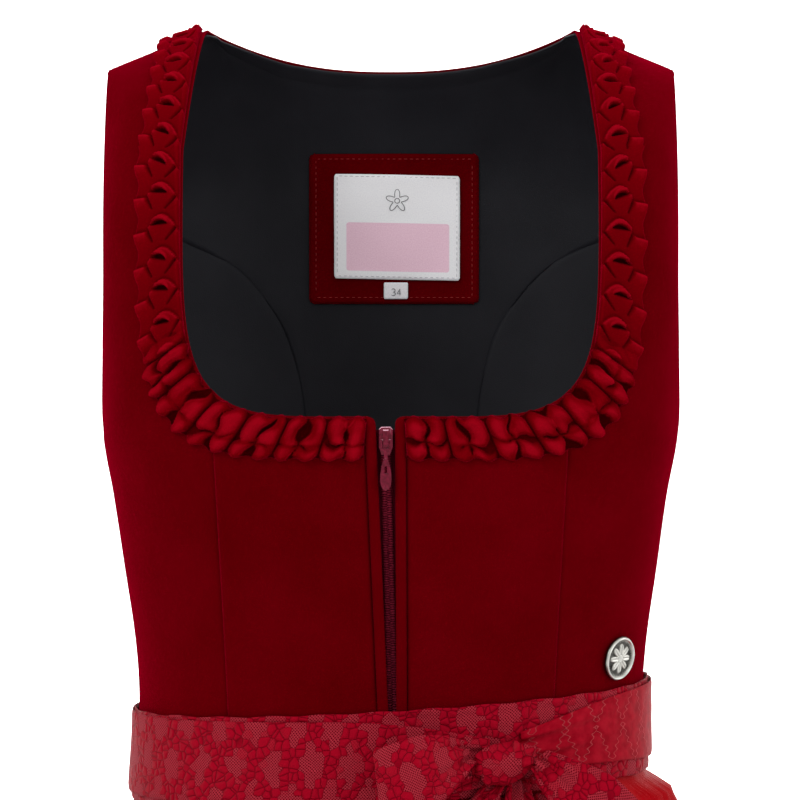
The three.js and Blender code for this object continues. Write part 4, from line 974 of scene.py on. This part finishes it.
BADGE_X, BADGE_Z, BADGE_RADIUS, BACK_RADIUS, CLEAR = 116.0, -321.0, 11.5, 11.4, 1.0
left, right, centre, above = on_bodice(
    True, BADGE_X + np.array([-0.1, 0.1, 0, 0]), BADGE_Z + np.array([0, 0, 0, 0.2])
)
face = np.cross(right - left, above - centre)
face /= np.linalg.norm(face)
sideways = np.cross(np.array([0, 0, 1.0]), face)
sideways /= np.linalg.norm(sideways)
upward = np.cross(face, sideways)
TURNS, RINGS = 128, 44
theta = np.linspace(0, 2 * math.pi, TURNS, endpoint=False)
R, T = np.meshgrid(np.linspace(0, BADGE_RADIUS, RINGS), theta, indexing="ij")
petal = np.abs(np.cos(4 * T)) ** 0.6 * 6.6 + 1.5
inside = np.clip((petal - R) / 0.9, 0, 1)
vein = 1 - 0.55 * np.exp(-((np.mod(T * 8 / (2 * math.pi) + 0.5, 1) - 0.5) * R / 0.55) ** 2)
relief = 0.55 + 0.85 * smooth(inside) * vein * np.clip(R / 2.6, 0, 1)
relief = np.where(R < 2.0, 1.0 + 0.5 * np.sqrt(np.clip(1 - (R / 2.0) ** 2, 0, 1)), relief)
rim = np.exp(-(((R - 10.5) / 0.75) ** 2))
beads = 0.25 * np.clip(np.cos(40 * T), 0, 1) * np.exp(-(((R - 9.0) / 0.4) ** 2))
relief = relief + 1.3 * rim + beads
relief = np.where(R > 11.2, 1.0 - (R - 11.2) * 2, relief)


def on_badge(r, angle, height):
    r, angle, height = np.broadcast_arrays(r, angle, height)
    made = centre + sideways * (r * np.cos(angle))[..., None] + upward * (r * np.sin(angle))[..., None]
    return (made + face * (CLEAR + height)[..., None]).reshape(-1, 3)


faces = []
for k in range(RINGS - 1):
    for m in range(TURNS):
        n = (m + 1) % TURNS
        a, b = k * TURNS, (k + 1) * TURNS
        faces.append((a + m, b + m, b + n, a + n) if k else (m, b + m, b + n, n))
edge, back = (RINGS - 1) * TURNS, RINGS * TURNS
for m in range(TURNS):
    n = (m + 1) % TURNS
    faces.append((edge + m, back + m, back + n, edge + n))
faces.append(tuple(back + m for m in reversed(range(TURNS))))
vertices = np.concatenate([on_badge(R, T, relief + 0.15), on_badge(BACK_RADIUS, theta, 0.0)])
badge = placed("badge_cast", vertices, faces, pewter, "badge")
depth = badge.data.attributes.new("depth", "FLOAT", "POINT")
heights = np.concatenate([np.clip((relief.ravel() - 0.4) / 1.2, 0, 1), np.zeros(TURNS)])
depth.data.foreach_set("value", heights.astype(np.float32))
badge.modifiers.new("weld", "WELD").merge_threshold = 1e-6
cast(badge)

# ======== Skirt ====================================================================================
# Four quarters of bright red cloth with a soft lustre, gathered into the waist seam. The folds start
# as fine gathers under the band and grow into fewer, deeper ones at the hem.
def ring(table, u, z):
    """Points round the garment: u is 0 in front, 1 at the wearer's left, 2 and -2 behind, -1 at the right."""
    turn = np.mod(u + 2, 4) - 2
    front = np.abs(turn) <= 1
    x, depth = on_quarter(table, front, np.where(front, np.abs(turn), 2 - np.abs(turn)), z)
    return np.stack([x * np.where(turn < 0, -1, 1), np.where(front, -depth, depth), z + 0 * x], -1)


def lifted(table, u, z, out, du, dz):
    across = ring(table, u + du, z) - ring(table, u - du, z)
    up = ring(table, u, z + dz) - ring(table, u, z - dz)
    n = np.cross(across, up)
    return ring(table, u, z) + n / np.linalg.norm(n, axis=-1, keepdims=True) * np.asarray(out)[..., None]


def band_top(x):
    return -343.5 + x * 8 / 131


SKIRT = [
    (-1058, 330, 258, 296, 2.1),
    (-900, 286, 226, 258, 2.1),
    (-700, 232, 184, 208, 2.15),
    (-540, 190, 146, 166, 2.2),
    (-450, 161, 115, 132, 2.2),
    (-414, 142, 95, 96, 2.2),
    (-399, 133, 87.9, 80.9, 2.2),
    (-378, 132.2, 87.7, 80.4, 2.2),
]
SKIRT_FOLDS = [
    # z, depth behind, depth in front
    (-1058, 16, 9), (-800, 13, 7), (-560, 9, 5), (-440, 5, 3.4),
    (-412, 2.6, 1.8), (-399, 0.4, 0.4), (-370, 0.3, 0.3),
]
BAND_WIDTH = 47


def skirt_base(u, z, out):
    p = lifted(SKIRT, u, z, out, 0.004, 2)
    below = band_top(p[..., 0]) - BAND_WIDTH - 1.2 - z
    swell = smooth(below / 12) * (1 - smooth((-410 - z) / 210))
    p[..., 0] += np.where(p[..., 0] > 0, 15 * swell * (np.maximum(p[..., 0], 0) / 135) ** 1.5, 0)
    return p


def skirt_folds(u, z):
    turn = np.mod(u + 2, 4) - 2
    behind = smooth((np.abs(turn) - 0.45) / 0.3)
    size = mix(curve(SKIRT_FOLDS, 2, z), curve(SKIRT_FOLDS, 1, z), behind)
    uneven = 0.82 + 0.18 * np.sin(7.3 * turn * math.pi + 1)
    return size * uneven * np.sin(2 * math.pi * (9 * turn + 0.25 * np.sin(2.5 * math.pi * turn)))


def gathers(u, z, count, depth, top=-400.0, fade=90.0):
    """Fine uneven gathers that start at the seam and run out below it."""
    fade_out = np.exp(-np.clip(top - z, 0, None) / fade)
    phase = count * u + 0.6 * np.sin(5.1 * u * math.pi) + 0.35 * np.sin(17 * u)
    second = count * 0.53 * u + 0.5 * np.sin(9 * u + z / 60)
    return depth * fade_out * (np.sin(2 * math.pi * phase) + 0.5 * np.sin(2 * math.pi * second))


skirt_cloth = Look(
    "skirt_cloth", "skirt_cloth", Roughness=0.45, Specular_IOR_Level=0.04, Specular_Tint=(1.0, 0.12, 0.1, 1)
)
broad = skirt_cloth.texture("Noise", Scale=9.0, Detail=3.0)
skirt_cloth.colour(broad, (0.3, (0.30, 0.0, 0.003)), (0.72, (0.345, 0.001, 0.004)))
RIB = 0.0007
across, up, _ = skirt_cloth.split(skirt_cloth.coordinates("cloth"))
skirt_cloth.bump(across.sine(RIB) * up.sine(RIB), 0.00015, 0.5)

SKIRT_ROWS = ([0, 0.2, 0.42, 0.6, 0.76, 0.9, 1], [-1058, -880, -700, -560, -460, -410, -378.15])
LAP = 0.0008  # the quarters overlap by this share of one
for name, low_u in (("front_left", 0), ("back_left", 1), ("back_right", -2), ("front_right", -1)):
    U, V = grid(112, 80)
    z = np.interp(V, *SKIRT_ROWS)
    u = mix(low_u - LAP, low_u + 1 + LAP, U)
    surface = skirt_base(u, z, skirt_folds(u, z))
    under = smooth((band_top(surface[..., 0]) - BAND_WIDTH - 1.5 - z) / 14)
    piece = cloth(f"skirt_{name}", surface, 1, 1.5, skirt_cloth, gathers(u, z, 46, 0.55) * under)

# ======== Apron ====================================================================================
# Crimson jacquard: lozenges of fine open mesh stand in a ground of small rounded pebbles. It is gathered
# on a narrow band, whose ties cross behind and come to the front, where they end in a bow.
LUSTRE = {"Roughness": 0.6, "Specular_IOR_Level": 0.08, "Specular_Tint": (1.0, 0.12, 0.16, 1)}
# The groove colour is painted shade, in the grooves between the pebbles and in the holes of the net; the net
# colour is the net's lighter thread with a painted highlight on it.
GROUND, NET_THREAD_AND_HIGHLIGHT, GROOVE_PAINTED_SHADE = (0.265, 0.001, 0.01), (0.34, 0.022, 0.036), (0.12, 0.0, 0.004)
CELL_ACROSS, CELL_UP, NET_PITCH, ZIGZAG = 0.0200, 0.0400, 0.0016, 0.0036


def jacquard_look(name, turned=False):
    look = Look(name, "jacquard", **LUSTRE)
    shift = (look.texture("Noise", "cloth", Scale=60.0, Detail=2.0) - 0.5) * 0.003
    u, v, _ = look.split(look.coordinates("cloth"))
    u, v = (v + shift, u + shift) if turned else (u + shift, v + shift)
    at = Wire(look, look.add("CombineXYZ", X=u, Y=v).outputs[0])
    cells = look.add("TexVoronoi", Vector=at, Scale=235.0, Randomness=0.75)
    pebbles = look.add("TexVoronoi", feature="DISTANCE_TO_EDGE", Vector=at, Scale=235.0, Randomness=0.75)
    x, y, _ = look.split(Wire(look, cells.outputs["Position"]))

    def lozenges(shift):
        """Over 0 where a pebble's middle lies in a lozenge of the grid, which is 20 by 40 mm."""
        a, b = (x * (1 / CELL_ACROSS) + shift).fraction(), (y * (1 / CELL_UP) + shift).fraction()
        return 1.0 - (abs(a - 0.5) + abs(b - 0.5)) * (1 / 0.33)

    mask = lozenges(0.0).most(lozenges(0.5)).math("MULTIPLY", 9.0, clamp=True)
    dome = Wire(look, pebbles.outputs["Distance"]).math("MULTIPLY", 3.2, clamp=True) ** 0.5
    net = (u + v).sine(NET_PITCH).most((u - v).sine(NET_PITCH)) * 0.5 + 0.5
    # The pebbles darken towards their edges with painted shade, and the net runs from painted shade in its
    # holes to its lighter threads with their painted highlight.
    ground, mesh = look.ramp(dome, (0.05, GROOVE_PAINTED_SHADE), (0.5, GROUND)), look.ramp(net, (0.45, GROOVE_PAINTED_SHADE), (0.95, NET_THREAD_AND_HIGHLIGHT))
    look.surface(Base_Color=look.mixed(mask, ground, mesh))
    look.bump((1.0 - mask) * dome + mask * (net * 0.35), 0.0011, 0.9)
    return look


jacquard, jacquard_ribbon = jacquard_look("jacquard"), jacquard_look("jacquard_ribbon", turned=True)

# The cloth's reverse, on the tie that is turned over: smooth, with the lozenges drawn in bright zigzags.
reverse = Look("jacquard_reverse", "jacquard", **LUSTRE)
across, up, _ = reverse.split(reverse.coordinates("cloth"))
flake = reverse.texture("Noise", "cloth", Scale=170.0, Detail=2.0)
a, b = (abs((at * (1 / cell)).fraction() * 2.0 - 1.0) for at, cell in ((across, CELL_ACROSS), (up, CELL_UP)))
off = a + b - 1.0 + up.sine(ZIGZAG) * 0.10 + (flake * 0.5 - 0.25)
line = abs(off).math("MULTIPLY_ADD", -16.0, 1.0, clamp=True)
ground = reverse.ramp(flake, (0.35, (0.21, 0.0, 0.006)), (0.65, (0.29, 0.003, 0.012)))
reverse.surface(Base_Color=reverse.mixed(line * 0.75, ground, (0.42, 0.05, 0.06, 1)))
reverse.bump(line + flake, 0.0006, 0.7)

APRON_FALL = [
    # z, distance from the skirt, depth of the folds
    (-1000, 20, 7), (-800, 16.5, 6), (-560, 12, 4.4), (-440, 8.2, 2.8),
    (-412, 5.4, 1.6), (-398, 3.4, 0.9), (-380, 3.2, 0.6),
]
APRON_HEM_Z = APRON_FALL[0][0]

U, V = grid(170, 100)
u = mix(-0.5, 0.5, U)
top = band_top(ring(BODICE, u, np.full_like(u, -390.0))[..., 0]) - BAND_WIDTH - 0.6
z = mix(APRON_HEM_Z, top, V**0.62)
wave = np.sin(2 * math.pi * (10 * (u / 0.5 + 1) / 2 + 0.2 * np.sin(9 * u)))
size = curve(APRON_FALL, 2, z) * (0.85 + 0.15 * np.sin(23 * u))
points = skirt_base(u, z, curve(APRON_FALL, 1, z) + size * wave)
piece = cloth("apron_skirt", points, 1, 1.3, jacquard, gathers(u, z, 74, 0.5, -392, 60))


def girdle(name, shape, low_u, high_u, columns, rows, look, relief):
    """A band round the waist from low_u to high_u. shape gives its drop below the band's top, its width
    and its distance out."""
    U, V = grid(columns, rows)
    u = mix(low_u, high_u, U)
    drop, width, out = shape(u)
    x = ring(BODICE, u, np.full_like(u, -370.0))[..., 0]
    z = band_top(x) - drop - width * (1 - V)
    points = lifted(BODICE, u, z, out + GIRDLE_WALL, 0.006, 2)
    piece = cloth(name, points, 1, GIRDLE_WALL, look, relief(u, V))


def band_shape(u):
    return 0.35 * np.sin(41 * u), BAND_WIDTH + 0 * u, 1.2 + 0 * u


def band_relief(u, V):
    down = (1 - V) * BAND_WIDTH
    ripple = 0.35 * np.sin(u * 30 + 2 * np.sin(7 * u)) * np.exp(-down / 3)
    return ripple - 0.35 * np.exp(-(((down - 4.5) / 0.8) ** 2)) + 0.25 * np.sin(u * 17 + V * 3)


def tie_shape(table):
    return lambda u: (curve(table, 1, u), curve(table, 2, u), np.maximum(2.8, curve(table, 3, u)))


def tie_relief(knot_u):
    def relief(u, V):
        drawn = np.exp(-np.abs(u - knot_u) / 0.18)
        creases = np.sin(2 * math.pi * (2.4 * V + 0.3 * np.sin(5 * u)))
        creases = creases + 0.5 * np.sin(2 * math.pi * (5.1 * V + 0.2))
        return 1.1 * drawn * creases + 0.25 * np.sin(13 * u + 4 * V)

    return relief


GIRDLE_WALL = 1.2
# Quarters round from the front, drop, width, distance out.
TIE_LEFT = [
    (1.2, 2, 41, 2.8), (2, 1.5, 41, 2.8), (3, 1, 42, 2.8), (3.8, 3.5, 42, 2.8), (4.05, 8, 38, 2.8),
    (4.28, 17, 24, 3.9),
]
TIE_RIGHT = [
    (-3.63, 15, 20, 3.7), (-3.35, 4, 33, 2.8), (-3.1, 1.5, 39, 2.8), (-2.8, 2, 41, 4.5), (-2, 3, 41, 4.5),
    (-1.2, 2, 41, 4.5),
]
girdle("apron_waistband", band_shape, -1.1, 1.1, 260, 34, jacquard, band_relief)
girdle("apron_tie_left", tie_shape(TIE_LEFT), 1.2, 4.28, 340, 30, jacquard, tie_relief(4.28))
girdle(
    "apron_tie_right", tie_shape(TIE_RIGHT), -3.63, -1.2, 300, 30, reverse, tie_relief(-3.63)
)

# ======== Bow ======================================================================================
# Both ties end in one bow at the wearer's left of the middle: a wrapped knot, two loops that hang to its
# sides, and two tails that fall over the apron.
RIBBON_WALL = 1.3


def ribbon(name, course):
    """A loop along a course of x, y, z, width and lean, creased where it runs into the knot."""
    keyed = [(k, *row) for k, row in enumerate(course)]
    U, V = grid(38, 140)
    t = mix(0.001, 0.999, V) * (len(course) - 1)
    v = U - 0.5
    x, y, z, width, lean = (curve(keyed, column, t) for column in range(1, 6))
    hollow = 0.06 * width * (4 * v * v - 1)
    p = np.stack([x + np.cos(lean) * width * v, y + hollow, z + np.sin(lean) * width * v], -1)
    drawn = 1.6 * np.exp(-np.minimum(V, 1 - V) / 0.13)
    folds = np.sin(2 * math.pi * (2.2 * v + 0.15 * np.sin(9 * V)))
    folds = folds + 0.45 * np.sin(2 * math.pi * (5.3 * v + 0.3))
    relief = drawn * folds + 0.5 * np.sin(9 * V + 5 * v)
    centred = p + normals(p, 1) * (RIBBON_WALL / 2)
    piece = cloth(name, centred, 1, RIBBON_WALL, jacquard_ribbon, relief)


LOOP_RIGHT = [
    (39.6, -98, -364, 12, 2.1), (31, -108.5, -366, 26, 1.9), (18, -117, -371, 38, 1.78),
    (4, -121.5, -377, 43, 1.7), (-6, -118, -382, 44, 1.66), (-2, -111.5, -380, 43, 1.66),
    (10, -106.5, -377, 37, 1.78), (24, -101, -372, 24, 1.95), (38.3, -95, -371, 12, 2.1),
]
LOOP_LEFT = [
    (75.1, -91.6, -368, 12, 0.9), (86, -103, -376, 24, 0.9), (99, -111, -387, 36, 0.9),
    (110, -113, -398, 38, 0.9), (116, -108, -405, 38, 0.9), (112, -103, -401, 38, 0.9),
    (101, -99.5, -390, 34, 0.9), (88, -95, -381, 24, 0.9), (75.7, -87.1, -374, 12, 0.9),
]
ribbon("bow_loop_right", LOOP_RIGHT)
ribbon("bow_loop_left", LOOP_LEFT)

# The knot: the tie wrapped once round, with its creases running across.
U, V = grid(120, 60)
A, B = 2 * math.pi * U, (math.pi / 2 - 0.02) * (2 * V - 1)
wrap = 1 + 0.06 * np.sin(3 * A + 0.6)
fold = 0.06 * np.sin(10 * np.sin(A - 0.5) + 1.5 * np.cos(A)) + 0.03 * np.sin(19 * np.sin(A - 0.4))
fold = 1 + fold * np.cos(B)
KNOT_HALF_X, KNOT_HALF_Y, KNOT_HALF_Z = 16, 7, 11
across = KNOT_HALF_X * np.cos(A) * np.cos(B)
x = 58 + across * wrap * fold
y = -92.2 + KNOT_HALF_Y * np.sin(B) * fold + 0.26 * across * wrap
z = -369.5 + KNOT_HALF_Z * wrap * np.sin(A) * np.cos(B) * fold + 0.12 * across
knot = np.stack([x, y, z], -1)[:-1]
n, columns = knot.shape[:2]
faces = []
for k in range(n):
    a, b = k * columns, (k + 1) % n * columns
    faces += [(a + m, b + m, b + m + 1, a + m + 1) for m in range(columns - 1)]
faces.append(tuple(k * columns for k in reversed(range(n))))
faces.append(tuple(k * columns + columns - 1 for k in range(n)))
knot_cloth = placed("bow_knot_cloth", knot.reshape(-1, 3), faces, jacquard_ribbon, "bow_knot")
lay_uv(knot_cloth.data, knot[..., [0, 2]].reshape(-1, 2) / 1000)

# Each tail: z, quarters round from the front, width.
TAIL_RIGHT = [
    (-668, 0.11, 45), (-600, 0.12, 45), (-520, 0.14, 41),
    (-440, 0.18, 30), (-400, 0.22, 20), (-379.6, 0.29, 10),
]
TAIL_LEFT = [
    (-640, 0.345, 45), (-600, 0.35, 45), (-520, 0.35, 41),
    (-440, 0.35, 30), (-400, 0.36, 19), (-379, 0.355, 10),
]
for name, rows in (("bow_tail_right", TAIL_RIGHT), ("bow_tail_left", TAIL_LEFT)):
    U, V = grid(40, 130)
    z = mix(rows[0][0], rows[-1][0], V)
    v = U - 0.5
    length = quarter(SKIRT, np.full_like(z, True, bool), z)[3]
    u = curve(rows, 1, z) + v * curve(rows, 2, z) / length
    wave = 3 * np.cos(2 * math.pi * (v + z / 160))
    clear = 2 + (7 + wave) * smooth((-382 - z) / 40)
    points = skirt_base(u, z, curve(APRON_FALL, 1, z) + curve(APRON_FALL, 2, z) + clear + RIBBON_WALL)
    creases = 1.2 * np.exp(-(z[..., -1:] - z) / 60) * np.sin(2 * math.pi * 2.3 * v)
    piece = cloth(name, points, 1, RIBBON_WALL, jacquard, creases)
